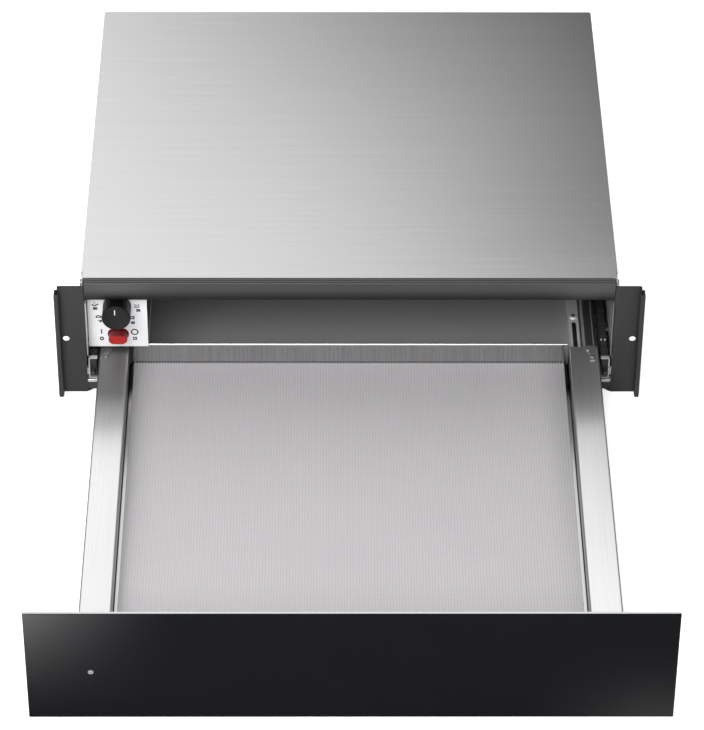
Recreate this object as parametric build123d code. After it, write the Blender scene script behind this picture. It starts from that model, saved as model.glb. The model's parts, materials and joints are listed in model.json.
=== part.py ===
from build123d import *
import os
from math import cos, radians, sqrt

# Built-in warming drawer, drawn with its drawer fully open. Millimetres.
# X = 0 is the centre line and +X is the right-hand side seen from the front.
# Y = 0 is the cabinet's front plane and +Y goes into the cabinet.
# Z = 0 is the underside of the case.

# ---------------------------------------------------------------- driving sizes
# Case, narrower than the drawer's front on each side
case_side_inset = 27.1
case_height = 140.0
case_depth = 495.1
cover_sheet = 0.8
cover_flange = 12.0
cover_corner = 2.5
cover_side_start = 18.4
cover_relief = 1.3
cover_screw_count = 4
cover_screw_spread = 0.9
wall_sheet = 1.0
base_sheet = 1.0
base_notch_depth = 5.8
base_notch_width = 14.0
base_notch_slope = 7.0
base_notch_wall_gap = 1.0
fastener_end_inset = 40.0
wall_foot_flange = 10.0
wall_top_flange = 12.6
bend = 1.0

# Front trim profile
trim_depth = 8.6
trim_nose = 1.2
trim_height = 24.6
trim_sheet = 1.6
trim_nose_radius = 6.0
trim_side_gap = 0.6

# Cabinet brackets
bracket_sheet = 1.2
bracket_plate_inset = 3.1
bracket_wall_cover = 1.4
bracket_top = 136.4
bracket_bottom = 0.3
bracket_side_flange = 36.0
bracket_leg_gap = 0.6
bracket_leg_bottom = 3.0
bracket_screw_depth = 24.0
bracket_screw_low = 9.4
bracket_screw_drop = 6.0
lip_depth = 10.0
lip_face = 5.2
lip_hem = 6.0
lip_top = 131.3
lip_bottom = 0.0
lip_end_radius = 1.8
cabinet_hole_radius = 3.35
cabinet_hole_inset = 8.6
cabinet_hole_height = 69.4
plate_corner = 2.0

# Opened drawer front
panel_width = 595.0
panel_top = 129.8
panel_bottom = 0.1
panel_reach = 476.0
glass_thickness = 3.2
glass_corner = 1.5
carrier_sheet = 1.0
carrier_side_inset = 7.0
carrier_edge_inset = 8.5
carrier_depth = 9.0
carrier_rim = 3.0
carrier_beam_top = 46.0
carrier_beam_bottom = 9.0
drawer_travel = 459.0

# Drawer sides, tray and mat
box_wall_gap = 12.8
box_width = 30.6
box_top = 42.0
box_sheet = 0.8
box_bend = 1.6
box_inner_bottom = 11.0
box_skirt_bottom = 9.0
box_rear = 20.0
tab_screw_inset = 7.0
tray_sheet = 0.8
tray_top = 19.8
tray_side_gap = 1.6
tray_foot_reach = 0.8
tray_bend = 1.8
mat_thickness = 2.2
mat_side_gap = 2.6
mat_end_gap = 0.4
mat_corner = 1.0
back_wall_top = 46.1
back_wall_taper = 3.4
back_rim_radius = 1.1
hook_sheet = 1.0
hook_rear_overhang = 1.0
hook_head_width = 10.6
hook_head_length = 6.5
hook_shoulder = 1.0
hook_neck_width = 6.3
hook_tail_width = 5.2
hook_neck_length = 5.5
hook_tail_length = 11.5
hook_screw_setback = 17.6

# Runners: a fixed channel, an I-section middle rail and a channel under each side box
runner_wall_gap = 20.2
channel_width = 10.4
channel_sheet = 1.2
channel_lip = 1.8
fixed_channel_height = 19.6
fixed_channel_front = 2.0
fixed_channel_length = 470.0
drawer_channel_height = 19.2
drawer_channel_setback = 13.0
drawer_channel_rear_gap = 2.0
middle_rail_length = 440.0
middle_rail_closed_front = 20.0
middle_web = 2.0
middle_flange = 1.6
middle_side_gap = 0.4
roller_radius = 1.5
roller_gap = 0.15
roller_count = 8
cage_length = 190.0
cage_thickness = 1.2
cage_side_gap = 0.25
cage_end_inset = 8.0
roller_end_gap = 1.0
cage_lead_open = 20.0

# Depth-adjusting strip beside each runner
strip_runner_gap = 2.4
strip_width = 10.0
strip_height = 12.0
strip_sheet = 1.2
strip_front = 26.0
strip_length = 436.0
strip_slot_width = 4.6
strip_slot_length = 46.0
strip_slot_start = 10.0
boss_radius = 4.2
boss_height = 1.6
boss_hole = 3.6
boss_ahead = 82.0

# Push-to-open unit on the side wall, held at its front by a zinc clip
unit_wall_gap = 3.4
unit_width = 7.8
unit_bottom = 16.8
unit_top = 42.8
unit_length = 330.0
unit_setback = 3.0
unit_gap = 0.2
unit_standoff_radius = 6.0
unit_rib = 1.2
unit_rib_pitch = 22.0
unit_rib_wall_gap = 3.0
unit_rib_lift = 1.0
unit_screw_end = 20.0
unit_bore_wall = 20.0
channel_clip_sheet = 1.2
channel_clip_length = 4.0
channel_clip_front = 0.6
channel_clip_foot = 8.0
shelf_bottom = 3.4
shelf_top = 15.0
shelf_depth = 12.0
shelf_corner = 3.0
plunger_radius = 2.4
plunger_length = 48.6
plunger_height = 25.6
plunger_clearance = 0.08
plunger_stroke = 2.8
plunger_standoff = 0.5

# Controls
control_setback = 14.0
control_width = 60.4
control_bottom = 47.6
control_wall_gap = 2.7
control_plate_sheet = 1.2
control_top_gap = 0.4
housing_wall = 1.5
housing_depth = 81.0
housing_side_inset = 0.6
knob_offset = 30.3
knob_height = 100.5
knob_radius = 14.65
knob_length = 21.5
knob_gap = 0.5
knob_edge = 0.9
knob_socket = 14.0
spindle_radius = 3.0
spindle_clearance = 0.06
spindle_hole = 4.5
thermostat_size = 29.0
thermostat_depth = 26.0
thermostat_chamfer = 4.0
thermostat_bore = 14.0
spindle_reach = 12.0
button_width = 19.0
button_height = 11.4
button_bottom = 58.3
button_front = 3.2
button_clearance = 0.3
button_travel = 3.0
button_reach_in = 5.0
button_edge = 0.8
bezel_band = 1.0
bezel_height = 1.0
switch_body_width = 25.0
switch_body_height = 16.0
switch_body_depth = 27.0

# Indicator light guide in the glass front
lens_inset = 59.1
lens_height = 57.3
lens_radius = 2.05
lens_clearance = 0.08
lens_flange_radius = 4.5
lens_flange = 1.5
lens_hole_gap = 0.6

# Fan heater under the cover
heater_x = 0.0
heater_y = 270.0
pan_width = 300.0
pan_length = 300.0
pan_sheet = 0.8
pan_bottom = 104.0
pan_flange = 10.0
pan_corner = 12.0
intake_radius = 60.0
outlet_slot_width = 5.0
outlet_slot_length = 60.0
outlet_slot_pitch = 14.0
outlet_slots = 5
outlet_guard_gap = 8.0
guard_thickness = 1.6
guard_bar = 2.0
guard_rings = 4
guard_spokes = 8
guard_overlap = 5.0
element_ring_radius = 84.0
element_tube_radius = 3.2
element_height = 112.5
element_leg_spread = 24.0
element_tail = 12.0
element_hole_clearance = 0.3
bracket_plate_width = 44.0
bracket_plate_sheet = 1.2
bracket_plate_height = 122.0
bracket_plate_turn = 9.0
motor_radius = 31.0
motor_height = 14.6
motor_edge = 2.0
motor_bore = 10.0
shaft_reach = 9.0
shaft_radius = 1.5
shaft_clearance = 0.06
shaft_hole = 4.0
rotor_radius = 52.0
rotor_disc = 1.2
rotor_height = 13.0
rotor_top_gap = 1.5
rotor_hub_radius = 7.0
rotor_blades = 16
rotor_blade_sheet = 1.2
rotor_blade_inner = 30.0
rotor_blade_sweep = 24.0
cutout_radius = 8.0
cutout_height = 7.0
cutout_tab = 6.0
cutout_tab_sheet = 0.8
cutout_tab_width = 6.0
cutout_setback = 30.0

# Wiring and rear terminal box
loom_radius = 3.0
loom_clearance = 0.3
mains_loom_height = 106.0
mains_loom_wall_gap = 6.0
heater_loom_height = 124.0
heater_loom_inset = 52.6
heater_loom_bend = 30.0
heater_loom_turn = 165.0
clip_length = 8.0
clip_wall = 2.0
clip_count = 3
clip_end_inset = 60.0
heater_clip_setback = 16.0
loom_tail = 3.0
terminal_box_width = 80.0
terminal_box_side_gap = 4.0
terminal_box_bottom = 84.0
terminal_box_top = 117.5
terminal_box_depth = 20.0
terminal_box_sheet = 1.5
terminal_block_width = 26.0
terminal_block_depth = 12.0
terminal_block_height = 18.0
terminal_block_gap = 6.0
terminal_ways = 3
terminal_hole = 2.2
terminal_hole_floor = 6.0
gland_bore = 4.25
gland_radius = 7.0
gland_collar = 8.5
gland_collar_length = 5.0
gland_tail = 3.0
gland_inset = 16.0
vent_slot_width = 3.0
vent_slot_height = 26.0
vent_slot_pitch = 9.0
vent_slots = 14
vent_first_x = 60.0
vent_bottom = 100.0

# Fasteners
rivet_radius = 1.6
rivet_head_radius = 3.0
rivet_head_height = 1.0
rivet_clearance = 0.05
screw_clearance = 0.05
screw_radius = 2.0
screw_head_radius = 3.75
screw_head_height = 2.2
small_screw_radius = 1.5
small_head_radius = 2.6
small_head_height = 1.7
screw_recess = 1.5

# ---------------------------------------------------------------- shared places
panel_half = panel_width / 2
case_width = panel_width - 2 * case_side_inset
wall_outer = case_width / 2 - cover_sheet
wall_inner = wall_outer - wall_sheet
case_ceiling = case_height - cover_sheet
rear_outer = case_depth - cover_sheet
rear_inner = rear_outer - wall_sheet
cover_front = trim_depth
cover_flange_bottom = case_height - cover_flange
cover_screw_height = case_ceiling - cover_flange / 2
runner_centre = wall_inner - runner_wall_gap
box_outer = wall_inner - box_wall_gap
box_inner = box_outer - box_width
box_underside = box_top - box_sheet
hook_screw_y = box_rear - hook_screw_setback
panel_front = -panel_reach
glass_back = panel_front + glass_thickness
carrier_plate_back = glass_back + carrier_sheet
carrier_back = glass_back + carrier_depth
carrier_half = panel_half - carrier_side_inset
lens_x = -(panel_half - lens_inset)
panel_middle = (panel_top + panel_bottom) / 2
tray_half = box_inner - tray_side_gap
back_wall_inner = box_rear
back_wall_outer = box_rear + tray_sheet
fixed_floor = base_sheet + channel_sheet
lower_rail_bottom = fixed_floor + 2 * (roller_radius + roller_gap)
upper_rail_top = box_underside - channel_sheet - 2 * (roller_radius + roller_gap)
channel_gap = channel_width / 2 - channel_sheet
strip_outer = runner_centre - channel_width / 2 - strip_runner_gap
unit_outer = wall_inner - unit_wall_gap
unit_inner = unit_outer - unit_width
clip_outer = unit_outer + channel_clip_sheet
unit_front = channel_clip_front + unit_setback
plunger_x = (unit_inner + unit_rib + unit_outer - unit_gap) / 2
closed_carrier_back = carrier_back + drawer_travel
plunger_front = closed_carrier_back + plunger_standoff
control_left = -(wall_inner - control_wall_gap)
control_right = control_left + control_width
control_back = control_setback + control_plate_sheet
wall_flange_underside = case_ceiling - wall_sheet
control_top = wall_flange_underside - control_top_gap
knob_x = control_left + knob_offset
knob_back = control_setback - knob_gap
knob_front = knob_back - knob_length
button_centre = button_bottom + button_height / 2
housing_back = control_back + housing_depth
pan_top = case_ceiling
mains_loom_x = -(wall_inner - mains_loom_wall_gap - loom_radius)
motor_bottom = bracket_plate_height + bracket_plate_sheet
rotor_top = bracket_plate_height - rotor_top_gap
heater_loom_x = -(wall_inner - heater_loom_inset)
cabinet_hole_x = panel_half - cabinet_hole_inset - bracket_sheet


# ---------------------------------------------------------------- helpers
def block(x, y, z):
    """Box between the given low and high X, Y and Z."""
    size = (x[1] - x[0], y[1] - y[0], z[1] - z[0])
    centre = ((x[0] + x[1]) / 2, (y[0] + y[1]) / 2, (z[0] + z[1]) / 2)
    return Pos(*centre) * Box(*size)


def along_x(face, x):
    """A face drawn in (Y, Z), run from x[0] to x[1]."""
    plane = Plane(origin=(x[0], 0, 0), x_dir=(0, 1, 0), z_dir=(1, 0, 0))
    return extrude(plane * face, x[1] - x[0])


def along_y(face, y):
    """A face drawn in (X, Z), run from y[0] to y[1]."""
    plane = Plane(origin=(0, y[1], 0), x_dir=(1, 0, 0), z_dir=(0, -1, 0))
    return extrude(plane * face, y[1] - y[0])


def along_z(face, z):
    """A face drawn in (X, Y), run from z[0] to z[1]."""
    return extrude(Pos(0, 0, z[0]) * face, z[1] - z[0])


def bent(path, sheet, radius=bend):
    """Section of a bent sheet whose middle follows the path."""
    line = FilletPolyline(*path, radius=radius) if radius else Polyline(*path)
    return trace(line, sheet)


def rod_x(radius, x, y, z):
    return along_x(Pos(y, z) * Circle(radius), x)


def rod_y(radius, x, y, z):
    return along_y(Pos(x, z) * Circle(radius), y)


def rod_z(radius, x, y, z):
    return along_z(Pos(x, y) * Circle(radius), z)


def joined(solids):
    """One shape from a list of overlapping or touching solids."""
    whole = solids[0]
    for solid in solids[1:]:
        whole = whole + solid
    return whole


def group(solids):
    """Several separate solids kept as one node."""
    return Compound(children=[solid.solid() for solid in solids])


def mirrored(solid):
    return mirror(solid, about=Plane.YZ)


def spread(count, first, last):
    """Evenly spaced places, the ends included."""
    if count == 1:
        return [(first + last) / 2]
    return [first + (last - first) * step / (count - 1) for step in range(count)]


def pan_screw(radius, head_radius, head_height, length):
    """Screw along Z: its head sits on Z = 0 and the shank goes down."""
    head = Cylinder(head_radius, head_height, align=(Align.CENTER, Align.CENTER, Align.MIN))
    head = fillet(head.edges().sort_by(Axis.Z)[-1], head_height * 0.6)
    slot_size = screw_recess * 0.5
    for turn in (0, 90):
        bar = Box(2 * screw_recess, slot_size, head_height, align=(Align.CENTER, Align.CENTER, Align.MIN))
        head -= Pos(0, 0, head_height * 0.55) * Rot(0, 0, turn) * bar
    shank = Cylinder(radius, length, align=(Align.CENTER, Align.CENTER, Align.MAX))
    return head + shank


def pill(width, height):
    return SlotOverall(width, height)


nodes = {}


def pair(name, solid):
    """Store a right-hand piece and its mirror image on the left."""
    nodes["right_" + name] = solid
    nodes["left_" + name] = mirrored(solid)


# ---------------------------------------------------------------- case
fastener_depths = spread(4, fastener_end_inset, rear_inner - fastener_end_inset)
foot_x = wall_inner - wall_foot_flange / 2
foot_rivets = [(side * foot_x, depth) for side in (-1, 1) for depth in fastener_depths]
runner_rivets = [(side * runner_centre, depth) for side in (-1, 1) for depth in fastener_depths]


def rivet_hole(place, top):
    return rod_z(rivet_radius + rivet_clearance, place[0], place[1], (-1.0, top))


def front_notch():
    """Notch in the front edge of the base beside the side wall, sloped on the wall's side."""
    outer = wall_inner - base_notch_wall_gap
    inner = outer - base_notch_width
    depth = base_notch_depth
    rear = outer - base_notch_slope
    outline = Polyline((inner, -1.0), (outer, -1.0), (rear, depth), (inner, depth), close=True)
    face = make_face(outline)
    face = fillet(face.vertices().sort_by(Axis.Y)[-2:], depth / 2)
    return along_z(face, (-1.0, base_sheet + wall_sheet + 1.0))


def base_plate():
    plate = block((-wall_outer, wall_outer), (0, rear_outer), (0, base_sheet))
    plate -= front_notch()
    plate -= mirrored(front_notch())
    for place in foot_rivets + runner_rivets:
        plate -= rivet_hole(place, base_sheet + 1)
    return plate


def bracket_screw_heights():
    return (bracket_screw_low, cover_flange_bottom - bracket_screw_drop)


def unit_screw_places():
    middle = (unit_bottom + unit_top) / 2
    first = plunger_front + plunger_length + unit_bore_wall
    return [(depth, middle) for depth in spread(3, first, unit_front + unit_length - unit_screw_end)]


def right_side_wall():
    """Upright sheet with a foot flange on the base and a top flange under the cover."""
    x = wall_inner + wall_sheet / 2
    low = base_sheet + wall_sheet / 2
    high = case_ceiling - wall_sheet / 2
    path = [(x - wall_foot_flange, low), (x, low), (x, high), (x - wall_top_flange, high)]
    wall = along_y(bent(path, wall_sheet), (0, rear_outer))
    wall -= block((0, wall_inner), (-1, trim_depth + 2), (cover_flange_bottom, case_height))
    wall -= block((0, wall_inner), (rear_inner - bend, rear_outer + 1), (base_sheet - 1, case_height))
    through = (wall_inner - 1, wall_outer + 1)
    for depth, height in unit_screw_places():
        wall -= rod_x(small_screw_radius + screw_clearance, through, depth, height)
    for height in bracket_screw_heights():
        wall -= rod_x(screw_radius + screw_clearance, through, bracket_screw_depth, height)
    for place in foot_rivets:
        wall -= rivet_hole(place, base_sheet + wall_sheet + 1)
    shelf_path = [
        (wall_sheet / 2, shelf_bottom),
        (wall_sheet / 2, shelf_top - wall_sheet / 2),
        (shelf_depth, shelf_top - wall_sheet / 2),
    ]
    shelf = along_x(bent(shelf_path, wall_sheet), (unit_inner, wall_inner))
    edge = shelf.edges().filter_by(Axis.Y).sort_by(Axis.Z)[:2].sort_by(Axis.X)[0]
    return wall - front_notch() + fillet(edge, shelf_corner)


def rear_wall():
    wall = block((-wall_inner, wall_inner), (rear_inner, rear_outer), (base_sheet, case_ceiling))
    through = (rear_inner - 1, rear_outer + 1)
    upright = Rot(0, 0, 90) * pill(vent_slot_height, vent_slot_width)
    for step in range(vent_slots):
        x = vent_first_x + vent_slot_pitch * step
        wall -= along_y(Pos(x, vent_bottom + vent_slot_height / 2) * upright, through)
    wall -= rod_y(loom_radius + loom_clearance, mains_loom_x, through, mains_loom_height)
    for x in cover_screw_places():
        wall -= rod_y(screw_radius + screw_clearance, x, through, cover_screw_height)
    return wall


def cover_screw_places():
    reach = cover_screw_spread * wall_inner
    return spread(cover_screw_count, -reach, reach)


def top_cover():
    half = case_width / 2
    sheet_face = Rectangle(case_width, case_depth - cover_front)
    sheet_face = Pos(0, (case_depth + cover_front) / 2) * sheet_face
    rear_corners = sheet_face.vertices().sort_by(Axis.Y)[-2:]
    sheet_face = fillet(rear_corners, cover_corner)
    flange = (cover_flange_bottom, case_ceiling)
    side = block((wall_outer, half), (cover_side_start, case_depth - cover_corner), flange)
    rear = block((-half + cover_corner, half - cover_corner), (rear_outer, case_depth), flange)
    front_half = wall_inner - trim_side_gap
    front = block((-front_half, front_half), (cover_front, cover_front + cover_sheet), flange)
    cover = along_z(sheet_face, (case_ceiling, case_height)) + side + mirrored(side) + rear + front
    ear = block((half - cover_relief, half + 1), (0, cover_side_start), (case_ceiling - 1, case_height + 1))
    cover = cover - ear - mirrored(ear)
    through = (rear_outer - 1, case_depth + 1)
    for x in cover_screw_places():
        cover -= rod_y(screw_radius + screw_clearance, x, through, cover_screw_height)
    return cover


def front_trim():
    """Aluminium profile: a flange level with the cover, a rounded face and a short return."""
    half = trim_sheet / 2
    top = case_height - half
    bottom = case_height - trim_height + half
    path = [
        (cover_front, top),
        (-trim_nose + half, top),
        (-trim_nose + half, bottom + trim_nose_radius),
        (trim_nose_radius - trim_nose, bottom),
        (trim_depth - 1.0, bottom),
    ]
    profile = trace(FilletPolyline(*path, radius=trim_sheet), trim_sheet)
    length = wall_inner - trim_side_gap
    return along_x(profile, (-length, length))


def right_bracket():
    """Flange in front of the cabinet side, with a leg along the case and a hemmed lip."""
    half = bracket_sheet / 2
    leg = wall_outer + half
    face_y = -half
    outer = panel_half - half
    hem = panel_half - lip_face + half
    front = -lip_depth + half
    path = [
        (leg, bracket_side_flange),
        (leg, face_y),
        (outer, face_y),
        (outer, front),
        (hem, front),
        (hem, front + lip_hem),
    ]
    bracket = along_z(bent(path, bracket_sheet), (lip_bottom, bracket_top))
    cover_x = (wall_outer - bracket_wall_cover, wall_outer + bracket_sheet)
    bracket += block(cover_x, (-bracket_sheet, 0), (lip_bottom, bracket_top))
    plate_edge = panel_half - bracket_plate_inset
    inside = wall_outer - bracket_wall_cover - 1
    above_lip = (lip_top, bracket_top + 1)
    bracket -= block((plate_edge, panel_half + 1), (-lip_depth - 1, 1), above_lip)
    bracket -= block((inside, plate_edge + 1), (-lip_depth - 1, -bracket_sheet), above_lip)
    bracket -= block((inside, plate_edge), (-bracket_sheet - 1, 1), (lip_bottom - 1, bracket_bottom))
    leg_x = (wall_outer - 1, wall_outer + bracket_sheet + 1)
    leg_y = (0, bracket_side_flange + 1)
    bracket -= block(leg_x, leg_y, (cover_flange_bottom - bracket_leg_gap, bracket_top + 1))
    bracket -= block(leg_x, leg_y, (lip_bottom - 1, bracket_leg_bottom))
    corner = bracket.edges().filter_by(Axis.Y).group_by(Axis.Z)[-1].sort_by(Axis.X)[-1]
    bracket = fillet(corner, plate_corner)
    lip_y = (-lip_depth - 1, -bracket_sheet)
    around_lip = block((panel_half - lip_face - 1, panel_half + 1), lip_y, (lip_bottom - 1, lip_top + 1))
    rounded = RectangleRounded(lip_face, lip_top - lip_bottom, lip_end_radius)
    rounded = Pos(panel_half - lip_face / 2, (lip_top + lip_bottom) / 2) * rounded
    bracket -= around_lip - along_y(rounded, lip_y)
    bracket -= rod_y(cabinet_hole_radius, cabinet_hole_x, (-lip_depth - 1, 1), cabinet_hole_height)
    for height in bracket_screw_heights():
        bracket -= rod_x(screw_radius + screw_clearance, leg_x, bracket_screw_depth, height)
    return bracket


def cover_screws():
    length = cover_sheet + wall_sheet + 1.0
    screw = pan_screw(screw_radius, screw_head_radius, screw_head_height, length)
    turned = Rot(-90, 0, 0) * screw
    return group([Pos(x, case_depth, cover_screw_height) * turned for x in cover_screw_places()])


def bracket_screws():
    length = bracket_sheet + wall_sheet + 1.0
    screw = pan_screw(screw_radius, screw_head_radius, screw_head_height, length)
    right = [Pos(wall_outer + bracket_sheet, bracket_screw_depth, z) * Rot(0, 90, 0) * screw
             for z in bracket_screw_heights()]
    return group(right + [mirrored(screw) for screw in right])


def chassis_rivets():
    """Headed rivets in the walls' feet and flush ones under the fixed channels."""
    rivets = []
    for x, y in foot_rivets:
        top = base_sheet + wall_sheet
        head = rod_z(rivet_head_radius, x, y, (top, top + rivet_head_height))
        rivets.append(rod_z(rivet_radius, x, y, (0, top)) + head)
    for x, y in runner_rivets:
        rivets.append(rod_z(rivet_radius, x, y, (0, fixed_floor)))
    return group(rivets)


nodes["base_plate"] = base_plate()
pair("side_wall", right_side_wall())
nodes["rear_wall"] = rear_wall()
nodes["top_cover"] = top_cover()
nodes["cover_screws"] = cover_screws()
nodes["front_trim"] = front_trim()
pair("bracket", right_bracket())
nodes["bracket_screws"] = bracket_screws()
nodes["chassis_rivets"] = chassis_rivets()


# ---------------------------------------------------------------- push-to-open units
def right_channel_clip():
    """Short zinc C-section round the front of the unit, open towards the drawer."""
    half = channel_clip_sheet / 2
    path = [
        (unit_inner, unit_bottom + half),
        (clip_outer - half, unit_bottom + half),
        (clip_outer - half, unit_top - half),
        (unit_inner, unit_top - half),
    ]
    run = (channel_clip_front, channel_clip_front + channel_clip_length)
    clip = along_y(bent(path, channel_clip_sheet), run)
    half_foot = channel_clip_foot / 2
    foot = block((clip_outer, wall_inner), run, (plunger_height - half_foot, plunger_height + half_foot))
    return clip + foot


def unit_screws():
    """Screws through the side wall into the unit's stand-offs."""
    length = wall_sheet + wall_inner - unit_outer + 3.0
    screw = pan_screw(small_screw_radius, screw_head_radius, small_head_height, length)
    right = [Pos(wall_outer, y, z) * Rot(0, 90, 0) * screw for y, z in unit_screw_places()]
    return group(right + [mirrored(screw) for screw in right])


def right_push_unit():
    """Black housing with ribs all round its length; it holds the plunger and stands off the wall."""
    low = unit_bottom + channel_clip_sheet + unit_gap
    high = unit_top - channel_clip_sheet - unit_gap
    run = (unit_front, unit_front + unit_length)
    body = block((unit_inner + unit_rib, unit_outer - unit_gap), run, (low, high))
    body = chamfer(body.edges().filter_by(Axis.Y).group_by(Axis.X)[-1], channel_clip_sheet)
    first = run[0] + unit_rib_pitch / 2
    count = int((run[1] - first) / unit_rib_pitch)
    rib_x = (unit_inner, wall_inner - unit_rib_wall_gap)
    rib_z = (low + unit_rib_lift, high + unit_rib_lift)
    for step in range(count):
        y = first + unit_rib_pitch * step
        body += block(rib_x, (y, y + 2 * unit_rib), rib_z)
    for depth, height in unit_screw_places():
        body += rod_x(unit_standoff_radius, (unit_outer - 1, wall_inner), depth, height)
        body -= rod_x(small_screw_radius, (unit_outer - 3, wall_inner + 1), depth, height)
    bore = plunger_radius + plunger_clearance
    bore_end = plunger_front + plunger_length + plunger_stroke + 1
    return body - rod_y(bore, plunger_x, (unit_front - 1, bore_end), plunger_height)


def right_plunger():
    rod = rod_y(plunger_radius, plunger_x, (plunger_front, plunger_front + plunger_length), plunger_height)
    return fillet(rod.edges().sort_by(Axis.Y)[0], plunger_radius * 0.5)


pair("unit_clip", right_channel_clip())
nodes["unit_screws"] = unit_screws()
pair("push_unit", right_push_unit())
pair("push_plunger", right_plunger())


# ---------------------------------------------------------------- runners
def hook_screw_hole():
    """Hole through the rear hook, the side box's top and the drawer channel's web."""
    span = (box_underside - 2 * channel_sheet, box_top + 2 * hook_sheet)
    return rod_z(small_screw_radius + screw_clearance, runner_centre, hook_screw_y, span)


def runner_channel(bottom, top, opening_up):
    """C-section with lips, centred on X = 0 in (X, Z)."""
    half = channel_width / 2
    outer = Pos(0, (bottom + top) / 2) * Rectangle(channel_width, top - bottom)
    inner = Pos(0, (bottom + top) / 2) * Rectangle(2 * channel_gap, top - bottom - 2 * channel_sheet)
    slot_half = half - channel_lip - channel_sheet
    slot_z = top if opening_up else bottom
    slot = Pos(0, slot_z) * Rectangle(2 * slot_half, 3 * channel_sheet)
    return outer - inner - slot


def right_fixed_channel():
    section = Pos(runner_centre, 0) * runner_channel(base_sheet, base_sheet + fixed_channel_height, True)
    channel = along_y(section, (fixed_channel_front, fixed_channel_front + fixed_channel_length))
    for place in runner_rivets:
        channel -= rivet_hole(place, fixed_floor + 0.5)
    return channel


def right_drawer_channel():
    low = box_underside - drawer_channel_height
    section = Pos(runner_centre, 0) * runner_channel(low, box_underside, False)
    run = (carrier_back + drawer_channel_setback, box_rear - drawer_channel_rear_gap)
    return along_y(section, run) - hook_screw_hole()


middle_rail_front = middle_rail_closed_front - drawer_travel / 2


def right_middle_rail():
    """I-section with load flanges at its ends and a retaining flange inside each channel."""
    width = 2 * (channel_gap - middle_side_gap)
    height = upper_rail_top - lower_rail_bottom
    section = Pos(0, lower_rail_bottom + height / 2) * Rectangle(middle_web, height)
    fixed_top = base_sheet + fixed_channel_height - channel_sheet
    drawer_low = box_underside - drawer_channel_height + channel_sheet
    levels = [
        lower_rail_bottom,
        fixed_top - middle_flange - middle_side_gap,
        drawer_low + middle_side_gap,
        upper_rail_top - middle_flange,
    ]
    for level in levels:
        section += Pos(0, level + middle_flange / 2) * Rectangle(width, middle_flange)
    run = (middle_rail_front, middle_rail_front + middle_rail_length)
    return along_y(Pos(runner_centre, 0) * section, run)


def right_roller_cage(front, level):
    """Plastic strip with windows, and the rollers that turn in them."""
    half = channel_gap - cage_side_gap
    left, right = runner_centre - half, runner_centre + half
    run = (front, front + cage_length)
    strip = block((left, right), run, (level - cage_thickness / 2, level + cage_thickness / 2))
    roller_half = half - roller_end_gap
    span = (runner_centre - roller_half, runner_centre + roller_half)
    window_half = sqrt(roller_radius ** 2 - (cage_thickness / 2) ** 2) + roller_gap
    rollers = []
    for y in spread(roller_count, run[0] + cage_end_inset, run[1] - cage_end_inset):
        window = (y - roller_radius - roller_gap, y + roller_radius + roller_gap)
        strip -= block((span[0] - roller_gap, span[1] + roller_gap), window, (level - 2, level + 2))
        rollers.append(rod_x(roller_radius, span, y, level))
    return group([strip] + rollers)


pair("fixed_channel", right_fixed_channel())
pair("drawer_channel", right_drawer_channel())
pair("middle_rail", right_middle_rail())
lower_cage_level = (fixed_floor + lower_rail_bottom) / 2
upper_cage_level = (upper_rail_top + box_underside - channel_sheet) / 2
pair("lower_roller_cage", right_roller_cage(cage_lead_open, lower_cage_level))
upper_cage_front = box_rear - cage_lead_open - cage_length
pair("upper_roller_cage", right_roller_cage(upper_cage_front, upper_cage_level))


def right_adjusting_strip():
    """Hat strip on the base with a lengthwise slot and a boss with a square hole."""
    x = (strip_outer - strip_width, strip_outer)
    inside = (x[0] + strip_sheet, x[1] - strip_sheet)
    middle = (x[0] + x[1]) / 2
    top = base_sheet + strip_height
    run = (strip_front, strip_front + strip_length)
    strip = block(x, run, (base_sheet, top))
    strip -= block(inside, (run[0] - 1, run[1] + 1), (base_sheet - 1, top - strip_sheet))
    boss_y = strip_front + boss_ahead
    strip += rod_z(boss_radius, middle, boss_y, (top - strip_sheet, top + boss_height))
    half_hole = boss_hole / 2
    hole = ((middle - half_hole, middle + half_hole), (boss_y - half_hole, boss_y + half_hole))
    strip -= block(hole[0], hole[1], (top - strip_sheet - 1, top + boss_height + 1))
    slot_y = boss_y - strip_slot_start - strip_slot_length / 2
    slot = Pos(middle, slot_y) * Rot(0, 0, 90) * pill(strip_slot_length, strip_slot_width)
    strip -= along_z(slot, (top - strip_sheet - 1, top + 1))
    return strip


pair("adjusting_strip", right_adjusting_strip())


# ---------------------------------------------------------------- drawer
def front_glass():
    face = Pos(0, panel_middle) * RectangleRounded(panel_width, panel_top - panel_bottom, glass_corner)
    glass = along_y(face, (panel_front, glass_back))
    return glass - rod_y(lens_radius + lens_clearance, lens_x, (panel_front - 1, glass_back + 1), lens_height)


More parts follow.
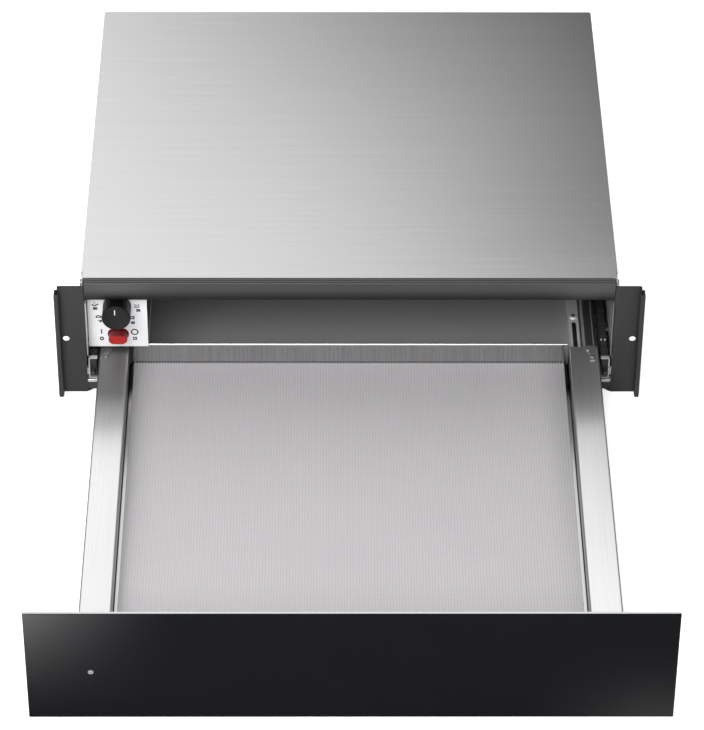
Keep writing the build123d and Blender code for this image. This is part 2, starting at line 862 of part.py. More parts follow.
def front_carrier():
    """Pressed sheet behind the glass: a rimmed plate and a closed beam that the drawer hangs on."""
    low = panel_bottom + carrier_edge_inset
    high = panel_top - carrier_edge_inset
    beam_half = carrier_half - carrier_rim
    plate = block((-carrier_half, carrier_half), (glass_back, carrier_plate_back), (low, high))
    rim_y = (glass_back, glass_back + carrier_rim)
    rims = [
        block((-carrier_half, carrier_half), rim_y, (high - carrier_sheet, high)),
        block((-carrier_half, -carrier_half + carrier_sheet), rim_y, (low, high)),
        block((carrier_half - carrier_sheet, carrier_half), rim_y, (low, high)),
    ]
    beam = block((-beam_half, beam_half), (glass_back, carrier_back), (carrier_beam_bottom, carrier_beam_top))
    core_z = (carrier_beam_bottom + carrier_sheet, carrier_beam_top - carrier_sheet)
    core_y = (carrier_plate_back, carrier_back - carrier_sheet)
    beam -= block((-beam_half - 1, beam_half + 1), core_y, core_z)
    carrier = joined([plate] + rims + [beam])
    carrier -= rod_y(lens_radius + lens_hole_gap, lens_x, (glass_back - 1, carrier_back), lens_height)
    for x, z in box_screw_places():
        carrier -= rod_y(small_screw_radius + screw_clearance, x, (carrier_back - 2, carrier_back + 1), z)
    return carrier


def box_screw_places():
    heights = (box_inner_bottom + tab_screw_inset, box_underside - tab_screw_inset)
    middle = (box_inner + runner_centre - channel_width / 2) / 2
    return [(side * middle, z) for side in (-1, 1) for z in heights]


def indicator_lens():
    """Light guide with a flange behind the carrier plate."""
    flange_y = (carrier_plate_back, carrier_plate_back + lens_flange)
    stem = rod_y(lens_radius, lens_x, (panel_front, carrier_plate_back), lens_height)
    return stem + rod_y(lens_flange_radius, lens_x, flange_y, lens_height)


def right_side_box():
    """Bent sheet over the runner: inner wall, top, outer skirt and a tab at the front."""
    half = box_sheet / 2
    path = [
        (box_inner + half, box_inner_bottom),
        (box_inner + half, box_top - half),
        (box_outer - half, box_top - half),
        (box_outer - half, box_skirt_bottom),
    ]
    box = along_y(bent(path, box_sheet, box_bend), (carrier_back, box_rear))
    tab_x = (box_inner + half, runner_centre + channel_width / 2)
    box += block(tab_x, (carrier_back, carrier_back + box_sheet), (box_inner_bottom, box_top - half))
    for x, z in box_screw_places():
        box -= rod_y(small_screw_radius + screw_clearance, x, (carrier_back - 1, carrier_back + 2), z)
    return box - hook_screw_hole()


def tray_floor():
    """Floor sheet with folded legs whose feet pass under the side boxes' inner walls."""
    half = tray_sheet / 2
    foot_z = box_inner_bottom - half
    foot_x = box_inner + tray_foot_reach
    path = [
        (foot_x, foot_z),
        (tray_half - half, foot_z),
        (tray_half - half, tray_top - half),
        (-tray_half + half, tray_top - half),
        (-tray_half + half, foot_z),
        (-foot_x, foot_z),
    ]
    section = bent(path, tray_sheet, [bend, tray_bend, tray_bend, bend])
    return along_y(section, (carrier_back, back_wall_inner))


def back_wall():
    """Upright end of the tray, narrower towards its rolled top edge."""
    foot = box_inner + box_sheet
    top = tray_half - back_wall_taper
    bar_height = back_wall_top - back_rim_radius
    outline = [
        (-foot, box_inner_bottom),
        (foot, box_inner_bottom),
        (foot, tray_top - tray_sheet),
        (tray_half, tray_top - tray_sheet),
        (top, bar_height),
        (-top, bar_height),
        (-tray_half, tray_top - tray_sheet),
        (-foot, tray_top - tray_sheet),
    ]
    wall = along_y(make_face(Polyline(*outline, close=True)), (back_wall_inner, back_wall_outer))
    rim = rod_x(back_rim_radius, (-tray_half, tray_half), (back_wall_inner + back_wall_outer) / 2, bar_height)
    return wall + rim


def grip_mat():
    half = tray_half - mat_side_gap
    y = (carrier_back + mat_end_gap, back_wall_inner - mat_end_gap)
    size = (2 * half, y[1] - y[0])
    face = Pos(0, (y[0] + y[1]) / 2) * RectangleRounded(*size, mat_corner)
    return along_z(face, (tray_top, tray_top + mat_thickness))


def right_hook():
    """Stepped tongue on the rear outer corner of the side box."""
    rear = box_rear + hook_rear_overhang
    head = rear - hook_head_length
    neck = head - hook_neck_length
    tail = neck - hook_tail_length
    steps = [
        (hook_head_width / 2, rear),
        (hook_head_width / 2, head),
        (hook_neck_width / 2, head - hook_shoulder),
        (hook_neck_width / 2, neck),
        (hook_tail_width / 2, neck),
        (hook_tail_width / 2, tail),
    ]
    outline = [(runner_centre + x, y) for x, y in steps]
    outline += [(runner_centre - x, y) for x, y in reversed(steps)]
    plate = along_z(make_face(Polyline(*outline, close=True)), (box_top, box_top + hook_sheet))
    return plate - hook_screw_hole()


def drawer_screws():
    """Screws of the side boxes' tabs and of the rear hooks."""
    length = carrier_sheet + box_sheet + 1.0
    screw = pan_screw(small_screw_radius, small_head_radius, small_head_height, length)
    turned = Rot(90, 0, 0) * screw
    screws = [Pos(x, carrier_back - carrier_sheet, z) * turned for x, z in box_screw_places()]
    stack = hook_sheet + box_sheet + channel_sheet
    short = pan_screw(small_screw_radius, small_head_radius, small_head_height, stack)
    for side in (-1, 1):
        screws.append(Pos(side * runner_centre, hook_screw_y, box_top + hook_sheet) * short)
    return group(screws)


nodes["front_glass"] = front_glass()
nodes["front_carrier"] = front_carrier()
nodes["indicator_lens"] = indicator_lens()
pair("side_box", right_side_box())
nodes["tray_floor"] = tray_floor()
nodes["back_wall"] = back_wall()
nodes["grip_mat"] = grip_mat()
nodes["rear_hooks"] = group([right_hook(), mirrored(right_hook())])
nodes["drawer_screws"] = drawer_screws()


# ---------------------------------------------------------------- controls
def button_outline(margin=0.0):
    """Outline of the push button in (X, Z), widened all round by the margin."""
    return Pos(knob_x, button_centre) * pill(button_width + 2 * margin, button_height + 2 * margin)


def control_plate():
    thickness = (control_setback, control_back)
    plate = block((control_left, control_right), thickness, (control_bottom, control_top))
    plate -= rod_y(spindle_hole, knob_x, (control_setback - 1, control_back + 1), knob_height)
    hole = button_outline(button_clearance)
    return plate - along_y(hole, (control_setback - 1, control_back + 1))


def control_housing():
    """Open-fronted box behind the plate, hung under the wall's top flange."""
    x = (control_left + housing_side_inset, control_right - housing_side_inset)
    z = (control_bottom + housing_side_inset, wall_flange_underside)
    y = (control_back, housing_back)
    shell = block(x, y, z)
    inside_x = (x[0] + housing_wall, x[1] - housing_wall)
    inside_z = (z[0] + housing_wall, z[1] - housing_wall)
    return shell - block(inside_x, (y[0] - 1, y[1] - housing_wall), inside_z)


def thermostat_body():
    half = thermostat_size / 2
    depth = (control_back, control_back + thermostat_depth)
    body = block((knob_x - half, knob_x + half), depth, (knob_height - half, knob_height + half))
    body = chamfer(body.edges().filter_by(Axis.Y), thermostat_chamfer)
    bore = (control_back - 1, control_back + thermostat_bore)
    return body - rod_y(spindle_radius + spindle_clearance, knob_x, bore, knob_height)


def selector_knob():
    knob = rod_y(knob_radius, knob_x, (knob_front, knob_back), knob_height)
    knob = fillet(knob.edges().group_by(Axis.Y)[0], knob_edge)
    return knob - rod_y(spindle_radius, knob_x, (knob_back - knob_socket, knob_back + 1), knob_height)


def knob_spindle():
    return rod_y(spindle_radius, knob_x, (knob_back - knob_socket, control_back + spindle_reach), knob_height)


def power_button():
    button = along_y(button_outline(), (button_front, control_back + button_reach_in))
    return fillet(button.edges().group_by(Axis.Y)[0], button_edge)


def switch_bezel():
    """Ring around the button, standing on the plate."""
    ring = button_outline(button_clearance + bezel_band) - button_outline(button_clearance)
    return along_y(ring, (control_setback - bezel_height, control_setback))


def power_switch_body():
    outline = Pos(knob_x, button_centre) * Rectangle(switch_body_width, switch_body_height)
    body = along_y(outline, (control_back, control_back + switch_body_depth))
    depth = button_reach_in + button_travel + button_clearance
    return body - along_y(button_outline(button_clearance), (control_back - 1, control_back + depth))


nodes["control_plate"] = control_plate()
nodes["control_housing"] = control_housing()
nodes["thermostat_body"] = thermostat_body()
nodes["selector_knob"] = selector_knob()
nodes["knob_spindle"] = knob_spindle()
nodes["power_button"] = power_button()
nodes["switch_bezel"] = switch_bezel()
nodes["power_switch_body"] = power_switch_body()


# ---------------------------------------------------------------- fan heater
outlet_start = intake_radius + 2 * guard_overlap + outlet_guard_gap
pan_x = (heater_x - pan_width / 2, heater_x + pan_width / 2)
pan_y = (heater_y - pan_length / 2, heater_y + pan_length / 2)
element_y = heater_y + sqrt(element_ring_radius ** 2 - (element_leg_spread / 2) ** 2)


def pan_outline(margin=0.0):
    """Outline of the pan in (X, Y), widened all round by the margin."""
    size = (pan_width + 2 * margin, pan_length + 2 * margin)
    return Pos(heater_x, heater_y) * RectangleRounded(*size, pan_corner + margin)


def heater_pan():
    """Pressed pan hung under the cover, with the intake below the fan and outlet slots in its floor."""
    outside = pan_outline()
    inside = pan_outline(-pan_sheet)
    rim = pan_outline(pan_flange)
    pan = along_z(outside, (pan_bottom, pan_top)) - along_z(inside, (pan_bottom + pan_sheet, pan_top + 1))
    pan += along_z(rim - inside, (pan_top - pan_sheet, pan_top))
    pan -= rod_z(intake_radius, heater_x, heater_y, (pan_bottom - 1, pan_bottom + pan_sheet + 1))
    for side in (-1, 1):
        for step in range(outlet_slots):
            x = heater_x + side * (outlet_start + outlet_slot_pitch * step)
            slot = Pos(x, heater_y) * Rot(0, 0, 90) * pill(outlet_slot_length, outlet_slot_width)
            pan -= along_z(slot, (pan_bottom - 1, pan_bottom + pan_sheet + 1))
    for side in (-1, 1):
        x = heater_x + side * element_leg_spread / 2
        hole = element_tube_radius + element_hole_clearance
        pan -= rod_y(hole, x, (pan_y[1] - pan_sheet - 1, pan_y[1] + 1), element_height)
    return pan


def fan_guard():
    """Round grille under the intake: flat rings on spokes."""
    outer = intake_radius + guard_overlap
    z = (pan_bottom - guard_thickness, pan_bottom)
    parts = []
    for radius in spread(guard_rings, outer / guard_rings, outer - guard_bar / 2):
        ring = Circle(radius + guard_bar / 2) - Circle(radius - guard_bar / 2)
        parts.append(along_z(Pos(heater_x, heater_y) * ring, z))
    spoke = Pos(outer / 2, 0) * Rectangle(outer - guard_bar, guard_bar)
    for step in range(guard_spokes):
        turned = Pos(heater_x, heater_y) * Rot(0, 0, 360 * step / guard_spokes) * spoke
        parts.append(along_z(turned, z))
    return joined(parts)


def heating_element():
    """Ring element whose two legs leave through the pan's back wall."""
    half_gap = element_leg_spread / 2
    tail = pan_y[1] + element_tail
    arc_start = (heater_x + half_gap, element_y, element_height)
    arc_end = (heater_x - half_gap, element_y, element_height)
    front = (heater_x, heater_y - element_ring_radius, element_height)
    ring = ThreePointArc(arc_start, front, arc_end)
    tube = sweep(Plane(origin=ring @ 0, z_dir=ring % 0) * Circle(element_tube_radius), path=ring)
    parts = [tube]
    for x in (heater_x - half_gap, heater_x + half_gap):
        parts.append(rod_y(element_tube_radius, x, (element_y - 2, tail), element_height))
        parts.append(Pos(x, element_y, element_height) * Sphere(element_tube_radius))
    return joined(parts)


def motor_bracket():
    """Strip across the pan with its ends turned up against the pan's side walls."""
    half_sheet = bracket_plate_sheet / 2
    reach = pan_width / 2 - pan_sheet - half_sheet
    level = bracket_plate_height + half_sheet
    path = [
        (heater_x - reach, level + bracket_plate_turn),
        (heater_x - reach, level),
        (heater_x + reach, level),
        (heater_x + reach, level + bracket_plate_turn),
    ]
    y = (heater_y - bracket_plate_width / 2, heater_y + bracket_plate_width / 2)
    bracket = along_y(bent(path, bracket_plate_sheet), y)
    return bracket - rod_z(shaft_hole, heater_x, heater_y, (bracket_plate_height - 1, motor_bottom + 1))


def fan_motor():
    can = rod_z(motor_radius, heater_x, heater_y, (motor_bottom, motor_bottom + motor_height))
    can = fillet(can.edges().group_by(Axis.Z)[-1], motor_edge)
    bore = (motor_bottom - 1, motor_bottom + motor_bore)
    return can - rod_z(shaft_radius + shaft_clearance, heater_x, heater_y, bore)


def fan_rotor():
    """Disc with a hub, swept-back blades and the shaft that runs up into the motor."""
    low = rotor_top - rotor_height
    parts = [
        rod_z(rotor_radius, heater_x, heater_y, (rotor_top - rotor_disc, rotor_top)),
        rod_z(rotor_hub_radius, heater_x, heater_y, (low, rotor_top)),
        rod_z(shaft_radius, heater_x, heater_y, (low, motor_bottom + shaft_reach)),
    ]
    length = (rotor_radius - rotor_blade_inner) / cos(radians(rotor_blade_sweep)) - 2
    blade = Rot(0, 0, rotor_blade_sweep) * Pos(length / 2, 0) * Rectangle(length, rotor_blade_sheet)
    for step in range(rotor_blades):
        turned = Rot(0, 0, 360 * step / rotor_blades) * Pos(rotor_blade_inner, 0) * blade
        parts.append(along_z(Pos(heater_x, heater_y) * turned, (low, rotor_top - rotor_disc / 2)))
    return joined(parts)


def thermal_cutout():
    """Round thermal cut-out standing on the pan's floor, with two tabs."""
    x = heater_x
    y = pan_y[0] + cutout_setback
    floor = pan_bottom + pan_sheet
    top = floor + cutout_height
    body = rod_z(cutout_radius, x, y, (floor, top))
    tab = Rectangle(cutout_tab_sheet, cutout_tab_width)
    for tab_x in (x - cutout_radius / 2, x + cutout_radius / 2):
        body += along_z(Pos(tab_x, y) * tab, (floor + 1, top + cutout_tab))
    return body


nodes["heater_pan"] = heater_pan()
nodes["fan_guard"] = fan_guard()
nodes["heating_element"] = heating_element()
nodes["motor_bracket"] = motor_bracket()
nodes["fan_motor"] = fan_motor()
nodes["fan_rotor"] = fan_rotor()
nodes["thermal_cutout"] = thermal_cutout()


# ---------------------------------------------------------------- wiring and rear terminals
terminal_left = -(wall_outer - terminal_box_side_gap)
terminal_x = (terminal_left, terminal_left + terminal_box_width)
terminal_y = (rear_outer, rear_outer + terminal_box_depth)
gland_x = terminal_x[1] - gland_inset
gland_y = (terminal_y[0] + terminal_y[1]) / 2
loom_end = rear_outer + loom_tail
clip_places = spread(clip_count, housing_back + clip_end_inset, rear_inner - clip_end_inset)
heater_clip_y = housing_back + heater_clip_setback


def wire_looms():
    """One loom to the rear terminals and one to the fan heater."""
    mains = rod_y(loom_radius, mains_loom_x, (housing_back, loom_end), mains_loom_height)
    path = FilletPolyline(
        (heater_loom_x, housing_back, heater_loom_height),
        (heater_loom_x, heater_loom_turn, heater_loom_height),
        (pan_x[0], heater_loom_turn, heater_loom_height),
        radius=heater_loom_bend,
    )
    heater = sweep(Plane(origin=path @ 0, z_dir=path % 0) * Circle(loom_radius), path=path)
    return group([mains, heater])


def loom_clips():
    """Clips on the left wall for the mains loom, and one under the cover for the heater's."""
    hole = loom_radius + loom_clearance
    half = hole + clip_wall
    clips = []
    clip_x = (-wall_inner, mains_loom_x + half)
    clip_z = (mains_loom_height - half, mains_loom_height + half)
    for y in clip_places:
        clip = block(clip_x, (y, y + clip_length), clip_z)
        clips.append(clip - rod_y(hole, mains_loom_x, (y - 1, y + clip_length + 1), mains_loom_height))
    run = (heater_clip_y, heater_clip_y + clip_length)
    clip = block((heater_loom_x - half, heater_loom_x + half), run, (heater_loom_height - half, case_ceiling))
    clips.append(clip - rod_y(hole, heater_loom_x, (run[0] - 1, run[1] + 1), heater_loom_height))
    return group(clips)


def terminal_cover():
    """Box on the back of the rear wall, open towards it, with a hole for the gland underneath."""
    sheet = terminal_box_sheet
    inside_x = (terminal_x[0] + sheet, terminal_x[1] - sheet)
    inside_y = (terminal_y[0] - 1, terminal_y[1] - sheet)
    inside_z = (terminal_box_bottom + sheet, terminal_box_top - sheet)
    cover = block(terminal_x, terminal_y, (terminal_box_bottom, terminal_box_top))
    cover -= block(inside_x, inside_y, inside_z)
    return cover - rod_z(gland_radius, gland_x, gland_y, (terminal_box_bottom - 1, inside_z[0] + 1))


def cable_gland():
    """Bushing under the terminal cover, open for a mains lead."""
    low = terminal_box_bottom - gland_collar_length
    high = terminal_box_bottom + terminal_box_sheet + gland_tail
    body = rod_z(gland_radius, gland_x, gland_y, (terminal_box_bottom, high))
    body += rod_z(gland_collar, gland_x, gland_y, (low, terminal_box_bottom))
    return body - rod_z(gland_bore, gland_x, gland_y, (low - 1, high + 1))


def terminal_block():
    """Row of terminals, open at the top."""
    left = mains_loom_x + loom_radius + terminal_block_gap
    low = terminal_box_bottom + terminal_box_sheet
    high = low + terminal_block_height
    back = rear_outer + terminal_block_depth
    body = block((left, left + terminal_block_width), (rear_outer, back), (low, high))
    for step in range(terminal_ways):
        x = left + terminal_block_width * (step + 0.5) / terminal_ways
        body -= rod_z(terminal_hole, x, (rear_outer + back) / 2, (low + terminal_hole_floor, high + 1))
    return body


nodes["wire_looms"] = wire_looms()
nodes["loom_clips"] = loom_clips()
nodes["terminal_cover"] = terminal_cover()
nodes["cable_gland"] = cable_gland()
nodes["terminal_block"] = terminal_block()


# ---------------------------------------------------------------- output
os.makedirs("parts", exist_ok=True)
for name, shape in nodes.items():
    export_step(shape, f"parts/{name}.step")
print(len(nodes), "nodes written")
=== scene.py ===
import json
from math import cos, pi, radians, sin

import bmesh
import bpy
from mathutils import Matrix, Vector


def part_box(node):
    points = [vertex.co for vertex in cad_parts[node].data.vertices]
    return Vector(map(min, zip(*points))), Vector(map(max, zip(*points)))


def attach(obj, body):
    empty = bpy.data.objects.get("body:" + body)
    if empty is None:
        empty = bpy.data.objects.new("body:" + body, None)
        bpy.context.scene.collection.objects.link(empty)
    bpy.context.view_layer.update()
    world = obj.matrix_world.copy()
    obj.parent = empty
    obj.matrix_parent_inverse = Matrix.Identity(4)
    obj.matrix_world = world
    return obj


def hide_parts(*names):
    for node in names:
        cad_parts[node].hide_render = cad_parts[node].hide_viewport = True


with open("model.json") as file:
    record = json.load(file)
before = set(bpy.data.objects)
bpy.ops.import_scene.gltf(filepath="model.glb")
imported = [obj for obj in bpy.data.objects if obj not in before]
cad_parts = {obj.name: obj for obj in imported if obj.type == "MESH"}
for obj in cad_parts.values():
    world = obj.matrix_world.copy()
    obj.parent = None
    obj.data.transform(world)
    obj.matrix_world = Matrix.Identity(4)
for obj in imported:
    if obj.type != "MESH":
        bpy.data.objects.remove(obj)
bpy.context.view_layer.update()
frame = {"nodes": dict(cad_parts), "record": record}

# Looks of the built-in warming drawer, drawn open. Metres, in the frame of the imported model:
# +X right, +Y into the cabinet, +Z up, Y = 0 the cabinet's front, Z = 0 the case's underside.

MM = 0.001
IMAGE_HEIGHT = 730  # pixels of the photograph
MAT_RELIEF = 0.35 * MM  # height of the mat's nubs
scene = bpy.context.scene


# ---------------------------------------------------------------- camera
def make_camera():
    """Camera fitted to the corners of the cover, the glass, the tray and the brackets in the photograph."""
    focal_pixels = 3532.1
    sensor = 36.0
    data = bpy.data.cameras.new("front_camera")
    data.sensor_fit = "VERTICAL"
    data.sensor_height = sensor
    data.sensor_width = sensor
    data.lens = focal_pixels / IMAGE_HEIGHT * sensor
    data.clip_start = 0.05
    data.clip_end = 60.0
    camera = bpy.data.objects.new("front_camera", data)
    camera.location = (-0.02105, -2.81306, 2.30049)
    camera.rotation_euler = (radians(51.14558), radians(-0.25115), radians(-0.28304))
    scene.collection.objects.link(camera)
    scene.camera = camera


# ---------------------------------------------------------------- shader arithmetic
class Value:
    """A shader socket that takes part in plain arithmetic."""

    def __init__(self, finish, socket):
        self.finish = finish
        self.socket = socket

    def math(self, operation, *others, clamp=False):
        """Result of any Math node that starts with this value."""
        settings = {"operation": operation, "use_clamp": clamp}
        return self.finish.node("ShaderNodeMath", settings, dict(enumerate((self, *others))))

    def __add__(self, other):
        return self.math("ADD", other)

    def __sub__(self, other):
        return self.math("SUBTRACT", other)

    def __rsub__(self, other):
        return self.finish.node("ShaderNodeMath", {"operation": "SUBTRACT"}, {0: other, 1: self})

    def __mul__(self, other):
        return self.math("MULTIPLY", other)

    def __truediv__(self, other):
        return self.math("DIVIDE", other)

    def __gt__(self, other):
        return self.math("GREATER_THAN", other)

    def __lt__(self, other):
        return self.math("LESS_THAN", other)

    def __abs__(self):
        return self.math("ABSOLUTE")

    def step(self, low, high):
        """0 below low, 1 above high, and smooth between them."""
        settings = {"interpolation_type": "SMOOTHSTEP"}
        return self.finish.node("ShaderNodeMapRange", settings, {0: self, 1: low, 2: high})

    __radd__ = __add__
    __rmul__ = __mul__


class Finish:
    """A procedural material on Object coordinates, with one Principled shader."""

    def __init__(self, name, colour=(0.8, 0.8, 0.8), rough=0.5, metal=0.0, **constants):
        self.material = bpy.data.materials.new(name)
        self.material.use_nodes = True
        self.tree = self.material.node_tree
        self.shader = self.tree.nodes["Principled BSDF"]
        self.shader.inputs["Base Color"].default_value = (*colour, 1.0)
        self.shader.inputs["Roughness"].default_value = rough
        self.shader.inputs["Metallic"].default_value = metal
        for socket, value in constants.items():
            self.shader.inputs[socket.replace("_", " ")].default_value = value
        self.place = self.node("ShaderNodeTexCoord", output="Object")

    def node(self, kind, settings=None, inputs=None, output=0):
        """Add a node by its type, its settings and the values or links of its sockets."""
        made = self.tree.nodes.new(kind)
        for setting, value in (settings or {}).items():
            setattr(made, setting, value)
        for socket, value in (inputs or {}).items():
            if isinstance(value, Value):
                self.tree.links.new(value.socket, made.inputs[socket])
            else:
                made.inputs[socket].default_value = value
        return Value(self, made.outputs[output])

    def axis(self, letter):
        """One Object coordinate, in metres."""
        return self.node("ShaderNodeSeparateXYZ", inputs={0: self.place}, output=letter)

    def noise(self, stretch, detail=2.0, rough=0.5):
        """Noise with the given number of features in a metre along X, Y and Z."""
        scaled = self.node("ShaderNodeMapping", inputs={"Vector": self.place, "Scale": stretch})
        inputs = {"Vector": scaled, "Scale": 1.0, "Detail": detail, "Roughness": rough}
        return self.node("ShaderNodeTexNoise", inputs=inputs)

    def cells(self, per_metre):
        """Patches of flat colour, with the given number of them in a metre."""
        inputs = {"Vector": self.place, "Scale": per_metre}
        return self.node("ShaderNodeTexVoronoi", inputs=inputs, output="Color")

    def blend(self, factor, first, second):
        """Mix of two colours, each a tuple or a link."""
        made = self.tree.nodes.new("ShaderNodeMix")
        made.data_type = "RGBA"
        for index, value in ((0, factor), (6, first), (7, second)):  # the sockets Factor, A and B of colours
            if isinstance(value, Value):
                self.tree.links.new(value.socket, made.inputs[index])
            else:
                made.inputs[index].default_value = value if index == 0 else (*value, 1.0)
        return Value(self, made.outputs[2])

    def feed(self, socket, value):
        """Link a value to a socket of the shader."""
        self.tree.links.new(value.socket, self.shader.inputs[socket])
        return self

    def bump(self, height, distance, strength=1.0):
        """Relief from a height of 0 to 1, with its depth in metres."""
        inputs = {"Height": height, "Distance": distance, "Strength": strength}
        return self.feed("Normal", self.node("ShaderNodeBump", inputs=inputs))


def grey(level):
    """Neutral colour with a trace of blue."""
    return (level, level, level * 1.01)


# ---------------------------------------------------------------- materials
def brushed_steel():
    """Sheet brushed from side to side: long fine strokes, a little uneven."""
    finish = Finish("brushed_cover_steel", rough=0.3, metal=1.0)
    strokes = finish.noise((9, 1500, 1500), 4, 0.65)
    bands = finish.noise((2.2, 130, 130), 2)
    level = strokes * 0.8 + bands * 0.2
    finish.feed("Base Color", finish.blend(level.step(0.3, 0.7), grey(0.63), grey(0.68)))
    finish.feed("Roughness", level * 0.06 + 0.2)
    return finish.bump(strokes, 0.00003, 0.3).material


def polished_steel():
    """Bright rolled sheet of the drawer, with painted shade on the boxes' outer edges and inner faces, in the
    slits beside the tray and at the tray's rear end, and near the control plate, where it is also rougher.
    """
    finish = Finish("polished_tray_steel", metal=0.9)
    lines = finish.noise((500, 6, 500), 3)
    clouds = finish.noise((9, 9, 9), 2)
    x, y, z = finish.axis("X"), finish.axis("Y"), finish.axis("Z")
    side = abs(x)
    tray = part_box("tray_floor")[1]
    inner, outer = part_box("right_side_box")
    bright = finish.blend(lines.step(0.3, 0.7), grey(0.79), grey(0.83))

    # painted shade on the box's outer edge, then on its inner face, with a darker painted line half way up
    edge = side.step(outer.x - 1.9 * MM, outer.x - 1.2 * MM)
    edged = finish.blend(edge * 0.85, bright, grey(0.15))
    facing = (side > inner.x - 0.3 * MM) * (1 - side.step(inner.x + 0.2 * MM, inner.x + 0.8 * MM))
    inner_face = facing * (z > tray.z + 1 * MM) * (z < outer.z - 0.8 * MM)
    mid_shade_line = abs(z - 30 * MM) < 0.7 * MM
    inner_shaded = finish.blend(inner_face * 0.85, edged, finish.blend(mid_shade_line, grey(0.05), grey(0.55)))

    # painted shade near the control plate, in place of the reflection of the plate and the button; the
    # roughness is raised there too
    plate_shade = y.step(-110 * MM, -50 * MM) * (1 - x.step(-230 * MM, -220 * MM)) * (z < 60 * MM)
    plate_shaded = finish.blend(plate_shade * 0.8, inner_shaded, grey(0.10))
    # painted shade in the slits beside the tray and at the tray's rear end, below the boxes' tops
    within_sides = 1 - side.step(tray.x + 0.1 * MM, tray.x + 0.5 * MM)
    below_tray = 1 - z.step(tray.z - 1.6 * MM, tray.z - 0.7 * MM)
    far_end = y.step(-50 * MM, -20 * MM) * (z < outer.z - 1 * MM)
    slit = within_sides * below_tray.math("MAXIMUM", far_end)
    finish.feed("Base Color", finish.blend(slit, plate_shaded, grey(0.025)))
    finish.feed("Roughness", clouds * 0.06 + lines * 0.02 + plate_shade * 0.25 + 0.24)
    return finish.material


def wall_steel():
    """Satin steel of the tray's back wall, with a painted highlight on its rolled edge and painted shade at
    its ends.
    """
    finish = Finish("satin_back_steel", metal=0.9)
    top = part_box("back_wall")[1]
    rim = top.z - 2.6 * MM
    lines = finish.noise((700, 700, 12), 3)
    # painted highlight on the rolled top edge
    edge = finish.axis("Z").step(rim, rim + 0.5 * MM)
    satin = finish.blend(lines.step(0.3, 0.7), grey(0.34), grey(0.42))
    rolled = finish.blend(edge, satin, grey(0.88))
    # painted shade at the wall's ends, below the rim
    ends = abs(finish.axis("X")).step(top.x - 4.4 * MM, top.x - 3.6 * MM) * (finish.axis("Z") < rim)
    finish.feed("Base Color", finish.blend(ends, rolled, grey(0.03)))
    finish.feed("Roughness", lines * 0.06 + 0.14)
    return finish.material


def zinc_steel(name, dark, light):
    """Galvanised sheet: flat crystals of a slightly different grey, with painted shade at the walls' front
    feet.
    """
    finish = Finish(name, metal=0.5)
    crystal = finish.node("ShaderNodeSeparateColor", inputs={0: finish.cells(170)}, output="Red")
    clouds = finish.noise((25, 25, 25), 3)
    tone = crystal * 0.5 + clouds * 0.5
    side = abs(finish.axis("X"))
    inner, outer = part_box("right_side_wall")
    in_wall = (side > inner.x - 0.5 * MM) * (side < outer.x - 0.8 * MM)
    # painted shade on the walls' front feet
    foot_shade = in_wall * (finish.axis("Z") < 12 * MM) * (finish.axis("Y") < 50 * MM)
    finish.feed("Base Color", finish.blend(foot_shade, finish.blend(tone, grey(dark), grey(light)), grey(0.05)))
    finish.feed("Roughness", tone * 0.16 + 0.32)
    return finish


def strip_zinc():
    """Galvanised strip, lighter than the other zinc as painted light for its sheen, with painted shade inside
    its slot and square hole.
    """
    # a lighter copy of the zinc: painted light for the sheen the strip catches
    finish = zinc_steel("bright_strip_zinc", 0.80, 0.92)
    low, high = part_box("right_adjusting_strip")
    boss_place = 82 * MM  # from the strip's front end to its square-holed boss
    half_opening = 1.85 * MM
    skin = 0.15 * MM
    boss_height = 1.75 * MM
    off_centre = abs(abs(finish.axis("X")) - (low.x + high.x) / 2)
    from_boss = abs(finish.axis("Y") - low.y - boss_place)
    depth = high.z - finish.axis("Z")
    # painted shade inside the slot and the square hole
    hole = (from_boss < half_opening) * (depth > skin)
    opening_shade = (off_centre < half_opening) * hole.math("MAXIMUM", depth > boss_height)
    zinc = Value(finish, finish.shader.inputs["Base Color"].links[0].from_socket)
    finish.feed("Base Color", finish.blend(opening_shade, zinc, grey(0.02)))
    return finish


def plain_steel():
    """Dull cold-rolled sheet of the case's floor, with painted shadow under the adjusting strips."""
    finish = Finish("dull_case_sheet", metal=0.2)
    rolled = finish.noise((6, 500, 500), 3)
    clouds = finish.noise((10, 10, 10), 3)
    low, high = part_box("right_adjusting_strip")
    side = abs(finish.axis("X"))
    near_floor = finish.axis("Z") < 4 * MM
    # painted shadow under the adjusting strips
    strip_shadow = (side > low.x) * (side < high.x) * (finish.axis("Y") > low.y) * near_floor
    sheet = finish.blend(rolled * 0.5 + clouds * 0.5, grey(0.31), grey(0.36))
    finish.feed("Base Color", finish.blend(strip_shadow, sheet, grey(0.05)))
    finish.feed("Roughness", rolled * 0.1 + 0.42)
    return finish.material


def coated_sheet(name, low, high, rough, grain=900):
    """Powder-coated sheet with a fine orange-peel surface."""
    finish = Finish(name)
    peel = finish.noise((grain, grain, grain), 2)
    clouds = finish.noise((18, 18, 18), 3)
    finish.feed("Base Color", finish.blend(clouds, grey(low), grey(high)))
    finish.feed("Roughness", peel * 0.12 + (rough - 0.06))
    return finish.bump(peel, 0.00012, 0.5).material


def trim_profile():
    """Anodised profile, drawn along X, with painted shade where it curves in below."""
    finish = Finish("anodised_trim", metal=0.3, Specular_IOR_Level=0.3)
    drawn = finish.noise((5, 1200, 1200), 3)
    low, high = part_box("front_trim")
    # painted shade on the lower curve
    under = 1 - finish.axis("Z").step(low.z + 1 * MM, high.z - 5 * MM)
    anodised = finish.blend(drawn, grey(0.066), grey(0.080))
    finish.feed("Base Color", finish.blend(under, anodised, grey(0.010)))
    finish.feed("Roughness", drawn * 0.1 + 0.4)
    return finish.material


